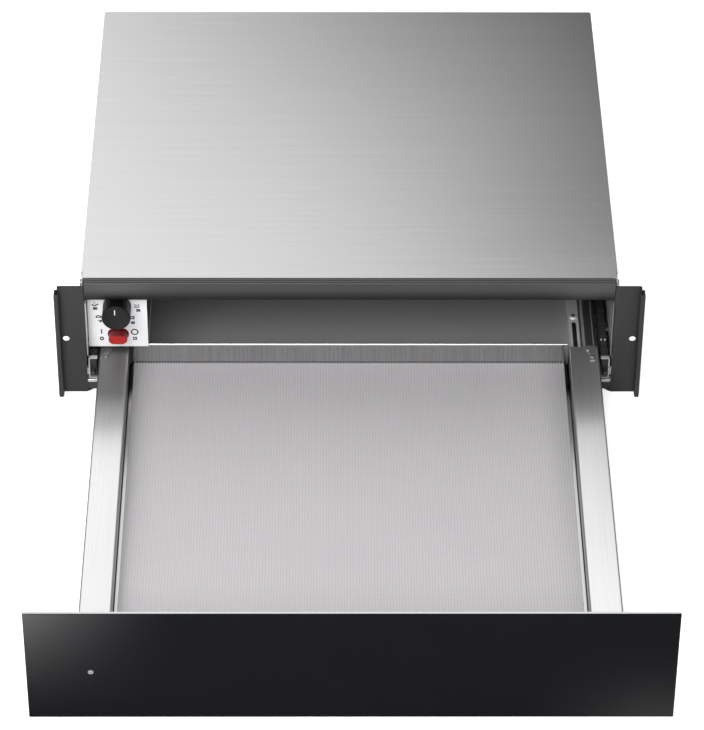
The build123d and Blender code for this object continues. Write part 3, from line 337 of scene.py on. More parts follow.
def moulded(name, low, high, rough, shine=0.5):
    """Injection-moulded plastic with a fine eroded grain."""
    finish = Finish(name, Specular_IOR_Level=shine)
    grain = finish.noise((1400, 1400, 1400), 2)
    flow = finish.noise((30, 30, 30), 2)
    finish.feed("Base Color", finish.blend(flow, low, high))
    finish.feed("Roughness", grain * 0.14 + (rough - 0.07))
    return finish.bump(grain, 0.00008, 0.4).material


def black_glass():
    """Glass with black enamel behind it; the gloss is a little softer where it has been wiped."""
    finish = Finish("black_glass", IOR=1.2, Specular_IOR_Level=0.5)
    wipe = finish.noise((14, 14, 40), 4, 0.6)
    finish.feed("Base Color", finish.blend(wipe, (0.0084, 0.0087, 0.0095), (0.0095, 0.0098, 0.0106)))
    finish.feed("Roughness", wipe * 0.04 + 0.08)
    return finish.material


def glass_edge():
    """Ground and polished rim of the glass, which looks pale from above."""
    finish = Finish("ground_glass_edge", metal=0.4)
    ground = finish.noise((1800, 1800, 1800), 2)
    finish.feed("Base Color", finish.blend(ground, grey(0.50), grey(0.62)))
    finish.feed("Roughness", ground * 0.15 + 0.2)
    return finish.material


def grip_rubber():
    """Pale silicone of the mat, slightly cloudy, with painted shade towards its rear, along its sides and
    between its nubs.
    """
    finish = Finish("grip_mat_silicone", Specular_IOR_Level=0.4)
    clouds = finish.noise((12, 12, 12), 3)
    grain = finish.noise((2600, 2600, 2600), 1)
    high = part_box("grip_mat")[1]
    y = finish.axis("Y")
    # random clouds, plus painted shade that grows towards the rear
    tone = clouds * 0.3 + y.step(-250 * MM, 60 * MM) * 0.7
    pale = finish.blend(tone, (0.480, 0.467, 0.480), (0.385, 0.374, 0.385))
    # painted shade along the mat's sides, stronger towards the rear
    side_shade = abs(finish.axis("X")).step(high.x - 31 * MM, high.x) * (y.step(-350 * MM, 20 * MM) * 0.5 + 0.1)
    edged = finish.blend(side_shade, pale, (0.27, 0.262, 0.27))
    # painted shade low between the nubs
    low = 1 - finish.axis("Z").step(high.z - MAT_RELIEF, high.z - MAT_RELIEF * 0.3)
    finish.feed("Base Color", finish.blend(low * 0.25, edged, (0.20, 0.195, 0.20)))
    finish.feed("Roughness", grain * 0.12 + 0.5)
    return finish.material


def white_coat():
    """White enamel of the control plate, with a faint orange peel."""
    finish = Finish("white_control_plate")
    peel = finish.noise((700, 700, 700), 2)
    clouds = finish.noise((30, 30, 30), 2)
    finish.feed("Base Color", finish.blend(clouds, (0.83, 0.83, 0.85), (0.86, 0.86, 0.88)))
    finish.feed("Roughness", peel * 0.1 + 0.32)
    return finish.bump(peel, 0.00006, 0.4).material


def red_lens():
    """Clear red moulding, with painted shade: bright at its face, darker on its sides towards the plate and
    round the face's rim.
    """
    finish = Finish("red_button_plastic", rough=0.3, Specular_IOR_Level=0.25)
    low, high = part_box("power_button")
    rim = 1.0 * MM
    depth = (finish.axis("Y") - low.y) / (high.y - low.y)
    streak = finish.noise((60, 200, 90), 2)
    # painted shade round the rim of the face
    across = abs(finish.axis("X") - (low.x + high.x) / 2) > (high.x - low.x) / 2 - rim
    upwards = abs(finish.axis("Z") - (low.z + high.z) / 2) > (high.z - low.z) / 2 - rim
    outline = across.math("MAXIMUM", upwards) * 0.9
    face = finish.blend(outline, (0.37, 0.012, 0.012), (0.12, 0.002, 0.003))
    # painted shade on the sides behind the face
    colour = finish.blend(depth.step(0.02, 0.12), face, (0.14, 0.002, 0.003))
    finish.feed("Base Color", finish.blend(streak.step(0.55, 0.8) * 0.2, colour, (0.50, 0.05, 0.05)))
    finish.feed("Roughness", streak * 0.1 + 0.25)
    return finish.material


def rail_steel():
    """Dark oiled rolled steel with lengthwise drawing marks and a painted highlight along its outer top edge.
    """
    finish = Finish("dark_rail_steel", metal=0.5)
    lines = finish.noise((1500, 5, 1500), 3)
    oiled = finish.blend(lines, (0.052, 0.050, 0.048), (0.075, 0.072, 0.069))
    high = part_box("right_middle_rail")[1]
    # painted highlight along the outer top edge
    edge = (abs(finish.axis("X")) > high.x - 0.9 * MM) * (finish.axis("Z") > high.z - 0.5 * MM)
    finish.feed("Base Color", finish.blend(edge, oiled, grey(0.36)))
    finish.feed("Roughness", lines * 0.15 + 0.26)
    return finish.material


def indicator():
    """Light guide: a pale ring round a darker core."""
    finish = Finish("indicator_light_guide", rough=0.3)
    low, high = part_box("indicator_lens")
    across = finish.axis("X") - (low.x + high.x) / 2
    up = finish.axis("Z") - (low.z + high.z) / 2
    radius = (across * across + up * up).math("SQRT")
    core = 1 - radius.step(0.7 * MM, 1.2 * MM)
    finish.feed("Base Color", finish.blend(core, grey(0.27), grey(0.15)))
    finish.feed("Roughness", core * 0.1 + 0.25)
    return finish.material


def printed_ink():
    """Matt black printing ink."""
    finish = Finish("printed_ink")
    grain = finish.noise((3000, 3000, 3000), 1)
    finish.feed("Base Color", finish.blend(grain, (0.010, 0.009, 0.010), (0.018, 0.017, 0.018)))
    finish.feed("Roughness", grain * 0.1 + 0.45)
    return finish.material


def make_materials():
    """Every finish, by its slot in the record or by the name that OWN_FINISH and the pieces use."""
    return {
        "cover_steel": brushed_steel(),
        "polished_steel": polished_steel(),
        "zinc_steel": zinc_steel("zinc_sheet", 0.42, 0.56).material,
        "bright_zinc": zinc_steel("bright_zinc_sheet", 0.80, 0.92).material,
        "strip_zinc": strip_zinc().material,
        "hook_steel": zinc_steel("dull_hook_steel", 0.16, 0.22).material,
        "dark_chassis": plain_steel(),
        "back_wall": wall_steel(),
        "black_paint": coated_sheet("black_bracket_coat", 0.0145, 0.0195, 0.5),
        "trim_dark": trim_profile(),
        "rail_dark": rail_steel(),
        "black_glass": black_glass(),
        "black_plastic": moulded("black_moulding", (0.020, 0.020, 0.021), (0.030, 0.030, 0.031), 0.42),
        "knob_plastic": moulded("black_knob", (0.005, 0.005, 0.0055), (0.007, 0.007, 0.0075), 0.5, 0.25),
        "knob_side": moulded("black_knob_grip", (0.0015, 0.0015, 0.0016), (0.0025, 0.0025, 0.0026), 0.35),
        "white_plate": white_coat(),
        "red_button": red_lens(),
        "lens_grey": indicator(),
        "mat_grey": grip_rubber(),
        "white_plastic": moulded("natural_nylon", (0.62, 0.61, 0.57), (0.70, 0.69, 0.65), 0.4),
        "heater_metal": coated_sheet("heat_stained_sheath", 0.10, 0.20, 0.4, 1500),
        "grey_cable": moulded("cable_sheath", (0.06, 0.06, 0.065), (0.085, 0.085, 0.09), 0.5),
        "glass_edge": glass_edge(),
        "ink": printed_ink(),
        "white_mark": moulded("white_pointer", (0.80, 0.80, 0.78), (0.86, 0.86, 0.84), 0.45),
    }


# Nodes whose finish isn't the plain one of their slot
OWN_FINISH = {
    "back_wall": "back_wall",
    "left_adjusting_strip": "strip_zinc",
    "right_adjusting_strip": "strip_zinc",
    "rear_hooks": "hook_steel",
    "drawer_screws": "hook_steel",
    "left_unit_clip": "zinc_steel",
    "right_unit_clip": "zinc_steel",
}


def dress_nodes(materials):
    """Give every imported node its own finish, or else that of its slot in the record."""
    for part in frame["record"]["subparts"]:
        mesh = frame["nodes"][part["node"]].data
        mesh.materials.clear()
        finish = OWN_FINISH.get(part["node"], part["material_slot"])
        mesh.materials.append(materials[finish])


# ---------------------------------------------------------------- mesh helpers
def finished(name, mesh, material, body, replaces=()):
    """Link a mesh as a piece that rides on a body; without a material it keeps those it has."""
    piece = bpy.data.objects.new(name, mesh)
    scene.collection.objects.link(piece)
    if material is not None:
        mesh.materials.clear()
        mesh.materials.append(material)
    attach(piece, body)
    if replaces:
        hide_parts(*replaces)


def from_bmesh(shape, name, smooth_angle=40.0):
    """Mesh with outward faces, smooth except at edges sharper than the angle."""
    bmesh.ops.remove_doubles(shape, verts=shape.verts, dist=1e-6)
    bmesh.ops.recalc_face_normals(shape, faces=shape.faces)
    limit = radians(smooth_angle)
    for face in shape.faces:
        face.smooth = True
    for edge in shape.edges:
        edge.smooth = len(edge.link_faces) == 2 and edge.calc_face_angle(pi) < limit
    mesh = bpy.data.meshes.new(name)
    shape.to_mesh(mesh)
    shape.free()
    return mesh


def profile_along_x(shape, outline, x_range):
    """Add a closed (Y, Z) outline drawn out from one X to the other, with flat ends."""
    ends = [[shape.verts.new((x, y, z)) for y, z in outline] for x in x_range]
    count = len(outline)
    for index in range(count):
        following = (index + 1) % count
        shape.faces.new((ends[0][index], ends[0][following], ends[1][following], ends[1][index]))
    for end in ends:
        shape.faces.new(end)


def cuboid(shape, low, high):
    """Add an axis-aligned box."""
    size = [b - a for a, b in zip(low, high)]
    centre = [(a + b) / 2 for a, b in zip(low, high)]
    matrix = Matrix.Translation(centre) @ Matrix.Diagonal((*size, 1.0))
    bmesh.ops.create_cube(shape, size=1.0, matrix=matrix)


def sharp_edges(shape, angle):
    """Edges between two faces that meet at more than the angle, in degrees."""
    return [e for e in shape.edges if len(e.link_faces) == 2 and e.calc_face_angle(0) > radians(angle)]


def rounded(shape, edges, width, segments):
    """Put a round strip of the width in place of each edge."""
    bmesh.ops.bevel(shape, geom=edges, offset=width, segments=segments, profile=0.5, affect="EDGES",
                    clamp_overlap=True)


def bevelled(shape, width, segments=2):
    """Round every sharp edge."""
    rounded(shape, sharp_edges(shape, 30), width, segments)


def softened(materials, node, body):
    """Copy of a packed sheet whose long edges catch the light."""
    long = 6 * MM
    width = 0.5 * MM
    shape = bmesh.new()
    shape.from_mesh(frame["nodes"][node].data)
    bmesh.ops.remove_doubles(shape, verts=shape.verts, dist=1e-6)
    bmesh.ops.dissolve_limit(shape, angle_limit=radians(0.5), verts=shape.verts, edges=shape.edges)
    edges = [e for e in sharp_edges(shape, 50) if e.is_convex and e.calc_length() > long]
    rounded(shape, edges, width, 2)
    bmesh.ops.triangulate(shape, faces=shape.faces)
    mesh = from_bmesh(shape, f"soft_{node}", 20)
    slot = next(part["material_slot"] for part in frame["record"]["subparts"] if part["node"] == node)
    finished(f"soft_{node}", mesh, materials[OWN_FINISH.get(node, slot)], body, [node])


# ---------------------------------------------------------------- repeated shapes
class Pattern:
    """A geometry-node tree with named size inputs that places and joins repeated shapes."""

    def __init__(self, name, sizes):
        self.tree = bpy.data.node_groups.new(name, "GeometryNodeTree")
        interface = self.tree.interface
        interface.new_socket("Geometry", in_out="OUTPUT", socket_type="NodeSocketGeometry")
        self.sizes = sizes
        for size, value in sizes.items():
            kind = "NodeSocketInt" if isinstance(value, int) else "NodeSocketFloat"
            interface.new_socket(size, in_out="INPUT", socket_type=kind)
        self.given = self.tree.nodes.new("NodeGroupInput")

    def node(self, kind, settings=None, inputs=None, output=0):
        """Add a node by its type, its settings and the values or links of its sockets."""
        made = self.tree.nodes.new(kind)
        for setting, value in (settings or {}).items():
            setattr(made, setting, value)
        for socket, value in (inputs or {}).items():
            if isinstance(value, bpy.types.NodeSocket):
                self.tree.links.new(value, made.inputs[socket])
            else:
                made.inputs[socket].default_value = value
        return made.outputs[output]

    def size(self, name):
        return self.given.outputs[name]

    def vector(self, x, y, z):
        return self.node("ShaderNodeCombineXYZ", inputs={"X": x, "Y": y, "Z": z})

    def baked(self, geometry, material):
        """Realise the instances, set their material and return the result as a plain mesh."""
        real = self.node("GeometryNodeRealizeInstances", inputs={0: geometry})
        painted = self.node("GeometryNodeSetMaterial", inputs={0: real, "Material": material})
        out = self.tree.nodes.new("NodeGroupOutput")
        self.tree.links.new(painted, out.inputs[0])
        holder = bpy.data.objects.new(self.tree.name, bpy.data.meshes.new(self.tree.name))
        scene.collection.objects.link(holder)
        modifier = holder.modifiers.new("pattern", "NODES")
        modifier.node_group = self.tree
        sockets = {item.name: item.identifier for item in self.tree.interface.items_tree}
        for size, value in self.sizes.items():
            modifier[sockets[size]] = value
        graph = bpy.context.evaluated_depsgraph_get()
        mesh = bpy.data.meshes.new_from_object(holder.evaluated_get(graph), depsgraph=graph)
        bpy.data.objects.remove(holder)
        return mesh


# ---------------------------------------------------------------- pieces of the drawer
def grip_mat(materials):
    """Mat with small pyramid nubs in straight rows and columns, and a row of tabs along its rear edge."""
    low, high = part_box("grip_mat")
    floor = high.z - MAT_RELIEF
    pitch = 2.9 * MM
    columns = round((high.x - low.x) / pitch)
    rows = round((high.y - low.y) / pitch)
    column_pitch = (high.x - low.x) / columns
    row_pitch = (high.y - low.y) / rows
    nubs = Pattern("mat_nubs", {
        "Width": column_pitch * (columns - 1),
        "Length": row_pitch * (rows - 1),
        "Columns": columns,
        "Rows": rows,
        "Nub Radius": column_pitch * 0.66,
        "Nub Height": MAT_RELIEF,
    })
    grid = nubs.node("GeometryNodeMeshGrid", inputs={
        "Size X": nubs.size("Width"),
        "Size Y": nubs.size("Length"),
        "Vertices X": nubs.size("Columns"),
        "Vertices Y": nubs.size("Rows")})
    cone = nubs.node("GeometryNodeMeshCone", {"fill_type": "NGON"}, {
        "Vertices": 4,
        "Radius Top": 0.0,
        "Radius Bottom": nubs.size("Nub Radius"),
        "Depth": nubs.size("Nub Height")})
    turned = nubs.node("GeometryNodeTransform", inputs={"Geometry": cone, "Rotation": (0.0, 0.0, pi / 4)})
    placed = nubs.node("GeometryNodeInstanceOnPoints", inputs={"Points": grid, "Instance": turned})
    mesh = nubs.baked(placed, materials["mat_grey"])
    mesh.transform(Matrix.Translation(((low.x + high.x) / 2, (low.y + high.y) / 2, floor)))
    shape = bmesh.new()
    shape.from_mesh(mesh)
    undersides = [face for face in shape.faces if face.normal.z < -0.9]
    bmesh.ops.delete(shape, geom=undersides, context="FACES_ONLY")

    # the last row of nubs gives way to a plain strip and the tabs
    last_row = high.y - row_pitch
    tab_start = high.y - row_pitch * 0.6
    half_tab = column_pitch * 0.24
    rear_nubs = [vert for vert in shape.verts if vert.co.y > last_row]
    bmesh.ops.delete(shape, geom=rear_nubs, context="VERTS")
    cuboid(shape, low, (high.x, last_row, floor + 0.02 * MM))
    cuboid(shape, (low.x, last_row, low.z), (high.x, tab_start, high.z - 0.1 * MM))
    for column in range(columns):
        x = low.x + (column + 0.5) * column_pitch
        cuboid(shape, (x - half_tab, tab_start, low.z), (x + half_tab, high.y, high.z))
    for face in shape.faces:
        face.smooth = False
    whole = bpy.data.meshes.new("grip_mat_nubbed")
    shape.to_mesh(whole)
    shape.free()
    finished("grip_mat_nubbed", whole, materials["mat_grey"], "drawer", ["grip_mat"])


def tray_rims(materials):
    """Bright burnished edges of the tray, beside the mat."""
    low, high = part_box("tray_floor")
    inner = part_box("grip_mat")[1].x + 0.05 * MM
    outer = high.x - 1.7 * MM
    front, back = low.y + 0.5 * MM, high.y - 1.5 * MM
    shape = bmesh.new()
    for left, right in ((-outer, -inner), (inner, outer)):
        cuboid(shape, (left, front, high.z - 0.3 * MM), (right, back, high.z + 0.8 * MM))
    bevelled(shape, 0.15 * MM, 1)
    mesh = from_bmesh(shape, "tray_rims", 20)
    finished("tray_rims", mesh, materials["polished_steel"], "drawer")


def front_glass(materials):
    """Pane with ground arrises; its rim is paler than the enamelled front and back."""
    low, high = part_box("front_glass")
    enamel, ground = 0, 1
    shape = bmesh.new()
    cuboid(shape, (low.x, low.y + 0.05 * MM, low.z), high)
    bevelled(shape, 0.45 * MM)
    for face in shape.faces:
        face.material_index = enamel if face.normal.y < -0.3 or face.normal.y > 0.9 else ground
    mesh = from_bmesh(shape, "front_pane", 20)
    mesh.materials.append(materials["black_glass"])
    mesh.materials.append(materials["glass_edge"])
    finished("front_pane", mesh, None, "drawer", ["front_glass"])


def indicator_ring(materials):
    """Thin disc that covers the light guide's end in the pane."""
    low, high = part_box("indicator_lens")
    centre = ((low.x + high.x) / 2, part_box("front_glass")[0].y + 0.07 * MM, (low.z + high.z) / 2)
    shape = bmesh.new()
    bmesh.ops.create_cone(
        shape, cap_ends=True, segments=32, radius1=2.6 * MM, radius2=2.5 * MM, depth=0.1 * MM,
        matrix=Matrix.Translation(centre) @ Matrix.Rotation(pi / 2, 4, "X"))
    mesh = from_bmesh(shape, "indicator_ring")
    finished("indicator_ring", mesh, materials["lens_grey"], "drawer")


def knob_axis():
    """X and Z of the knob's axis, and its radius."""
    low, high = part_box("selector_knob")
    return (low.x + high.x) / 2, (low.z + high.z) / 2, (high.x - low.x) / 2


def turned_knob(materials):
    """Knob turned about Y: a face with a raised rim, a waist for the grip and a collar at the back."""
    centre_x, centre_z, radius = knob_axis()
    front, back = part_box("selector_knob")[0].y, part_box("selector_knob")[1].y
    stations = [
        (front + 0.25 * MM, 0.0),
        (front + 0.25 * MM, radius - 1.8 * MM),
        (front, radius - 1.3 * MM),
        (front, radius - 0.9 * MM),
        (front + 0.3 * MM, radius - 0.3 * MM),
        (front + 0.9 * MM, radius - 0.05 * MM),
        (front + 3.2 * MM, radius - 0.05 * MM),
        (front + 3.6 * MM, radius - 0.5 * MM),
        (back - 3.4 * MM, radius - 0.9 * MM),
        (back - 3.0 * MM, radius - 0.3 * MM),
        (back, radius - 0.3 * MM),
        (back, 0.0),
    ]
    turns = 72
    shape = bmesh.new()
    rings = []
    for y, r in stations:
        angles = [2 * pi * k / turns for k in range(turns)] if r else [0.0]
        rings.append([shape.verts.new((centre_x + r * sin(a), y, centre_z + r * cos(a))) for a in angles])
    for first, second in zip(rings, rings[1:]):
        for k in range(turns):
            near = (first[k % len(first)], first[(k + 1) % len(first)])
            far = (second[(k + 1) % len(second)], second[k % len(second)])
            shape.faces.new(list(dict.fromkeys(near + far)))
    face_depth = 0.6 * MM
    for face in shape.faces:
        face.material_index = 1 if face.calc_center_median().y > front + face_depth else 0
    mesh = from_bmesh(shape, "turned_knob", 35)
    mesh.materials.append(materials["knob_plastic"])
    mesh.materials.append(materials["knob_side"])
    finished("turned_knob", mesh, None, "knob", ["selector_knob"])


def knob_grip(materials):
    """Fine ribs round the knob's waist."""
    low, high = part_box("selector_knob")
    centre_x, centre_z, radius = knob_axis()
    sizes = {"Radius": radius - 0.9 * MM, "Count": 36, "Rib": 1.1 * MM, "Length": high.y - low.y - 7.0 * MM}
    ribs = Pattern("knob_grip", sizes)
    rib_size = ribs.vector(ribs.size("Rib"), ribs.size("Rib"), ribs.size("Length"))
    rib = ribs.node("GeometryNodeMeshCube", inputs={"Size": rib_size})
    circle = {"Vertices": ribs.size("Count"), "Radius": ribs.size("Radius")}
    ring = ribs.node("GeometryNodeMeshCircle", inputs=circle)
    outwards = {"Vector": ribs.node("GeometryNodeInputPosition")}
    turned = ribs.node("FunctionNodeAlignRotationToVector", {"axis": "X"}, outwards)
    instances = {"Points": ring, "Instance": rib, "Rotation": turned}
    placed = ribs.node("GeometryNodeInstanceOnPoints", inputs=instances)
    mesh = ribs.baked(placed, materials["knob_side"])
    middle = (centre_x, (low.y + high.y) / 2 + 0.1 * MM, centre_z)
    mesh.transform(Matrix.Translation(middle) @ Matrix.Rotation(pi / 2, 4, "X"))
    finished("knob_grip", mesh, materials["knob_side"], "knob")


def knob_pointer(materials):
    """White stroke let into the knob's face."""
    centre_x, centre_z, radius = knob_axis()
    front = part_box("selector_knob")[0].y
    half = 0.48 * MM
    x = centre_x - 1.2 * MM
    shape = bmesh.new()
    cuboid(shape, (x - half, front + 0.02 * MM, centre_z + 4.2 * MM),
           (x + half, front + 0.5 * MM, centre_z + radius - 4.0 * MM))
    bevelled(shape, 0.15 * MM, 1)
    mesh = from_bmesh(shape, "knob_pointer", 20)
    finished("knob_pointer", mesh, materials["white_mark"], "knob")


# ---------------------------------------------------------------- pieces of the case
def front_trim(materials):
    """Profile with two fine grooves on top and a face that curves in below."""
    low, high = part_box("front_trim")
    nose, back, top, bottom = low.y, high.y, high.z, low.z
    wall = 1.6 * MM
    groove = 1.2 * MM
    crown = top - 0.1 * MM
    face_end = top - 6.5 * MM
    reach = 6.0 * MM
    lip = back - 1.0 * MM
    steps = 10

    def curve(inset):
        """Quarter of an ellipse from the face's end in to the lip."""
        angles = [pi / 2 * step / steps for step in range(steps + 1)]
        return [(nose + reach - (reach - inset) * cos(a), face_end - (face_end - bottom - inset) * sin(a))
                for a in angles]

    outline = [(back, crown - groove), (back - 0.5 * MM, crown)]
    for start in (6.2 * MM, 2.6 * MM):
        outline += [(nose + start, crown), (nose + start - 0.2 * MM, crown - groove),
                    (nose + start - 1.2 * MM, crown - groove), (nose + start - 1.4 * MM, crown)]
    outline += [(nose + 0.2 * MM, crown), (nose, crown - 0.3 * MM)] + curve(0.0)
    outline += [(lip, bottom), (lip, bottom + wall)] + curve(wall)[::-1]
    outline += [(nose + wall, top - wall - 0.1 * MM), (back, top - wall - 0.1 * MM)]
    end_gap = 0.8 * MM
    shape = bmesh.new()
    profile_along_x(shape, outline, (low.x + end_gap, high.x - end_gap))
    mesh = from_bmesh(shape, "grooved_trim", 24)
    finished("grooved_trim", mesh, materials["trim_dark"], "chassis", ["front_trim"])


def wall_hem(materials, name, side, finish):
    """Hemmed front edge of a side wall."""
    thickness = 1.2 * MM
    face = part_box("right_side_wall")[1].x - 2.2 * MM
    left, right = sorted((side * face, side * (face - thickness)))
    shape = bmesh.new()
    cuboid(shape, (left, 0.3 * MM, 46 * MM), (right, 9 * MM, 113 * MM))
    bevelled(shape, 0.3 * MM)
    mesh = from_bmesh(shape, f"{name}_wall_hem")
    finished(f"{name}_wall_hem", mesh, materials[finish], "chassis")


def unit_pins(materials, name, side):
    """Two small pins on top of a push-to-open unit."""
    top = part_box("right_push_unit")[1].z
    shape = bmesh.new()
    for x, y in ((259.2 * MM, 32.1 * MM), (263.3 * MM, 31.8 * MM)):
        bmesh.ops.create_cone(
            shape, cap_ends=True, segments=16, radius1=0.9 * MM, radius2=0.7 * MM, depth=1.2 * MM,
            matrix=Matrix.Translation((side * x, y, top)))
    mesh = from_bmesh(shape, f"{name}_unit_pins")
    finished(f"{name}_unit_pins", mesh, materials["bright_zinc"], "chassis")


def housing_flange(materials):
    """Lower flange on the inner side of the control housing."""
    low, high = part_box("control_housing")
    shape = bmesh.new()
    cuboid(shape, (high.x - 0.2 * MM, low.y, low.z), (high.x + 1.0 * MM, high.y, low.z + 0.8 * MM))
    mesh = from_bmesh(shape, "housing_flange")
    finished("housing_flange", mesh, materials["bright_zinc"], "chassis")


def text_mesh(text, height):
    """Bold flat text as a mesh in (X, Y), centred on the origin."""
    capital_share = 0.7  # height of a figure over the font's size
    curve = bpy.data.curves.new(text, "FONT")
    curve.body = text
    curve.size = height / capital_share
    curve.offset = height * 0.11
    curve.align_x = "CENTER"
    curve.align_y = "CENTER"
    holder = bpy.data.objects.new(text, curve)
    scene.collection.objects.link(holder)
    graph = bpy.context.evaluated_depsgraph_get()
    mesh = bpy.data.meshes.new_from_object(holder.evaluated_get(graph), depsgraph=graph)
    bpy.data.objects.remove(holder)
    return mesh


def flat_bar(shape, x, z, width, height):
    """Upright rectangle centred at (X, Z)."""
    left, right = x - width / 2, x + width / 2
    bottom, top = z - height / 2, z + height / 2
    corners = ((left, bottom), (right, bottom), (right, top), (left, top))
    shape.faces.new([shape.verts.new((a, 0, b)) for a, b in corners])


def flat_arc(shape, x, z, radius, line, start=0.0, end=360.0, squash=1.0):
    """Band along part of a circle, or of an ellipse where squash isn't 1; angles in degrees from +X."""
    steps = max(8, int(abs(end - start) / 15))
    rims = []
    for r in (radius - line / 2, radius + line / 2):
        angles = [radians(start + (end - start) * step / steps) for step in range(steps + 1)]
        rims.append([shape.verts.new((x + r * cos(a), 0, z + r * squash * sin(a))) for a in angles])
    for k in range(steps):
        shape.faces.new((rims[0][k], rims[1][k], rims[1][k + 1], rims[0][k + 1]))


def cup_symbol(shape, x, z):
    """Bowl with steam above it and an ear on its right."""
    flat_arc(shape, x, z + 0.6 * MM, 2.1 * MM, 1.4 * MM, 180, 360)
    flat_bar(shape, x, z + 2.3 * MM, 0.8 * MM, 2.0 * MM)
    flat_arc(shape, x + 2.6 * MM, z + 0.1 * MM, 0.9 * MM, 0.8 * MM, -80, 80)


def plates_symbol(shape, x, z):
    """Three stacked plates."""
    for step in range(3):
        flat_arc(shape, x, z + (2.2 - 1.6 * step) * MM, 2.7 * MM, 1.5 * MM, 200, 340, 0.5)


def pot_symbol(shape, x, z):
    """Pot with a lid that reaches past its sides."""
    flat_bar(shape, x, z + 1.5 * MM, 5.4 * MM, 1.2 * MM)
    flat_bar(shape, x - 1.8 * MM, z, 1.2 * MM, 2.8 * MM)
    flat_bar(shape, x + 1.8 * MM, z, 1.2 * MM, 2.8 * MM)
    flat_bar(shape, x, z - 1.2 * MM, 4.6 * MM, 1.2 * MM)


def dough_symbol(shape, x, z):
    """Risen loaf on a board."""
    flat_arc(shape, x, z - 0.6 * MM, 2.4 * MM, 1.3 * MM, 0, 180, 0.9)
    flat_bar(shape, x, z - 0.9 * MM, 5.6 * MM, 1.3 * MM)


def switch_marks(shape):
    """I and 0 at the switch's left, and a circle over a framed square at its right."""
    left, right = -252.6 * MM, -218.8 * MM
    flat_bar(shape, left, 66.9 * MM, 1.3 * MM, 6.0 * MM)
    flat_arc(shape, left, 57.8 * MM, 1.5 * MM, 1.35 * MM, squash=1.15)
    flat_arc(shape, right - 0.1 * MM, 66.3 * MM, 3.3 * MM, 1.4 * MM)
    square = 57.9 * MM
    for shift in (-1.5 * MM, 1.5 * MM):
        flat_bar(shape, right + shift, square, 1.0 * MM, 4.0 * MM)
        flat_bar(shape, right, square + shift, 4.0 * MM, 1.0 * MM)
    flat_bar(shape, right, square, 1.1 * MM, 1.1 * MM)


def printed_marks(materials):
    """Dial figures with small symbols, and the switch's marks, printed on the control plate."""
    print_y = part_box("control_plate")[0].y - 0.04 * MM
    shape = bmesh.new()
    figures = (("80", -257.9, 96.4), ("60", -254.1, 80.2), ("30", -214.4, 94.0), ("40", -220.5, 78.1))
    for text, x, z in figures:
        figure = text_mesh(text, 3.0 * MM)
        figure.transform(Matrix.Translation((x * MM, 0, z * MM)) @ Matrix.Rotation(pi / 2, 4, "X"))
        shape.from_mesh(figure)
    cup_symbol(shape, -258.5 * MM, 101.6 * MM)
    dough_symbol(shape, -254.9 * MM, 86.0 * MM)
    plates_symbol(shape, -215.7 * MM, 100.0 * MM)
    pot_symbol(shape, -220.9 * MM, 84.6 * MM)
    switch_marks(shape)
    bmesh.ops.triangulate(shape, faces=shape.faces)
    for face in shape.faces:
        if face.normal.y > 0:
            face.normal_flip()
    bmesh.ops.translate(shape, verts=shape.verts, vec=(0, print_y, 0))
    mesh = bpy.data.meshes.new("dial_print")
    shape.to_mesh(mesh)
    shape.free()
    finished("dial_print", mesh, materials["ink"], "chassis")


# ---------------------------------------------------------------- floor, backdrop and light
def flat_mesh(name, corners, finish):
    """Single face through the corners."""
    shape = bmesh.new()
    shape.faces.new([shape.verts.new(corner) for corner in corners])
    mesh = bpy.data.meshes.new(name)
    shape.to_mesh(mesh)
    shape.free()
    mesh.materials.append(finish.material)
    return mesh


def make_floor():
    """Pale floor that renders white in the open and keeps the soft shadow of the object."""
    finish = Finish("pale_floor", (0.82, 0.82, 0.83), 0.7, Specular_IOR_Level=0.1, Emission_Strength=1.0)
    ray = finish.node("ShaderNodeLightPath", output="Is Camera Ray")
    finish.feed("Emission Color", finish.blend(ray, grey(0.0), grey(0.62)))
    size = 14.0
    corners = ((-size, -size, 0), (size, -size, 0), (size, size, 0), (-size, size, 0))
    floor = bpy.data.objects.new("floor", flat_mesh("floor", corners, finish))
    floor.location.z = -0.2 * MM
    scene.collection.objects.link(floor)


def make_world():
    """White to the camera and in reflections, and dimmer as light on the object."""
    world = bpy.data.worlds.new("studio")
    world.use_nodes = True
    tree = world.node_tree
    background = tree.nodes["Background"]
    background.inputs["Color"].default_value = (1, 1, 1, 1)
    path = tree.nodes.new("ShaderNodeLightPath")
    seen = tree.nodes.new("ShaderNodeMath")
    seen.operation = "MAXIMUM"
    tree.links.new(path.outputs["Is Camera Ray"], seen.inputs[0])
    tree.links.new(path.outputs["Is Glossy Ray"], seen.inputs[1])
    level = tree.nodes.new("ShaderNodeMapRange")
    level.inputs["To Min"].default_value = 0.62
    level.inputs["To Max"].default_value = 1.0
    tree.links.new(seen.outputs[0], level.inputs["Value"])
    tree.links.new(level.outputs[0], background.inputs["Strength"])
    scene.world = world


def area_light(name, place, size, power):
    """Rectangular lamp aimed at the middle of the drawer's front."""
    target = Vector((0, 0, 0.05))
    data = bpy.data.lights.new(name, "AREA")
    data.shape = "RECTANGLE"
    data.size, data.size_y = size
    data.energy = power
    lamp = bpy.data.objects.new(name, data)
    lamp.location = place
    lamp.rotation_euler = (target - Vector(place)).to_track_quat("-Z", "Y").to_euler()
    scene.collection.objects.link(lamp)


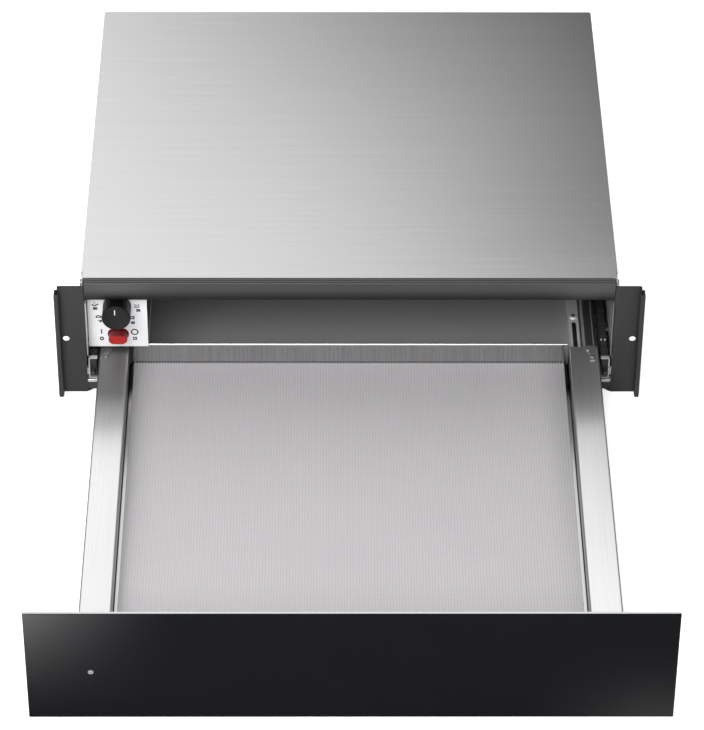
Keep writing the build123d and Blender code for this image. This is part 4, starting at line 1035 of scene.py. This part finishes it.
def reflector(name, left, right, front, back, height, light):
    """Level card that only reflections show; light(finish) gives its brightness over its area."""
    finish = Finish(name, (0, 0, 0), 1.0, Specular_IOR_Level=0.0, Emission_Strength=1.0)
    finish.feed("Emission Color", light(finish))
    corners = ((left, front, height), (right, front, height), (right, back, height), (left, back, height))
    card = bpy.data.objects.new(name, flat_mesh(name, corners, finish))
    scene.collection.objects.link(card)
    card.visible_camera = False
    card.visible_shadow = False
    card.visible_diffuse = False
    card.visible_transmission = False
    card.visible_volume_scatter = False


def ceiling_light(finish):
    """What the cover and the drawer's sides mirror: bright at the left and the front, dim at the right."""
    brightest = 1.28
    x, y = finish.axis("X"), finish.axis("Y")
    front_dip = y.step(1.0, 1.08) * (1 - y.step(1.12, 1.35)) * x.step(0.0, 0.25)
    middle_glow = (1 - abs(x - 0.015).step(0.05, 0.42)) * (1 - y.step(1.35, 1.68))
    rear_lift = x.step(0.05, 0.40) * y.step(1.15, 1.45)
    slope = x * 1.2 + y * 0.435
    level = 1.26 + middle_glow * 0.17 + rear_lift * 0.1 - (slope + front_dip * 0.14)
    share = level.math("MULTIPLY", 1 / brightest, clamp=True)
    over_cover = finish.blend(share, grey(0.02), (brightest, brightest, brightest))
    over_drawer = finish.blend(x.step(-0.1, 0.3), (1.06, 1.06, 1.06), (1.30, 1.30, 1.30))
    return finish.blend(y.step(0.82, 0.94), over_drawer, over_cover)


def floor_glow(finish):
    """What the glass mirrors: light before its left end, growing forwards, and a faint patch at its right."""
    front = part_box("front_glass")[0].y
    x, ahead = finish.axis("X"), front - finish.axis("Y")
    leftwards = 1 - (x + 0.315).math("MULTIPLY", 1 / 0.155, clamp=True)
    forwards = ahead.math("MULTIPLY", 1 / 0.137, clamp=True)
    left = leftwards * leftwards * forwards * (forwards * 0.85 + 0.15)
    near = 1 - ahead.math("MULTIPLY", 1 / 0.105, clamp=True)
    rightwards = (x - 0.14).math("MULTIPLY", 1 / 0.13, clamp=True)
    right = rightwards * rightwards * near * near
    return finish.blend((left + right * 0.2).math("MINIMUM", 1.0), (0, 0, 0), (11.0, 11.0, 11.2))


def make_lights():
    """Two soft lamps, and the two cards that give the steel and the glass something to mirror."""
    area_light("key_softbox", (-0.9, -0.7, 2.2), (1.6, 1.6), 8)
    area_light("front_softbox", (-0.6, -1.7, 1.7), (1.8, 1.2), 52)
    reflector("ceiling_card", -2.5, 2.5, 0.25, 3.6, 0.95, ceiling_light)
    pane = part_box("front_glass")[0].y - 1 * MM
    reflector("floor_card", -0.6, 0.6, pane - 0.5, pane, 0.4 * MM, floor_glow)


# ---------------------------------------------------------------- everything together
make_camera()
materials = make_materials()
dress_nodes(materials)
grip_mat(materials)
tray_rims(materials)
front_glass(materials)
indicator_ring(materials)
turned_knob(materials)
knob_grip(materials)
knob_pointer(materials)
front_trim(materials)
printed_marks(materials)
# the right hem takes the darker hook steel as painted shade; both hems are the same sheet
for name, side, finish in (("left", -1, "zinc_steel"), ("right", 1, "hook_steel")):
    wall_hem(materials, name, side, finish)
    unit_pins(materials, name, side)
housing_flange(materials)
for node in ("top_cover", "left_bracket", "right_bracket", "control_plate"):
    softened(materials, node, "chassis")
for node in ("left_side_box", "right_side_box"):
    softened(materials, node, "drawer")
make_floor()
make_world()
make_lights()
scene.view_settings.view_transform = "Standard"
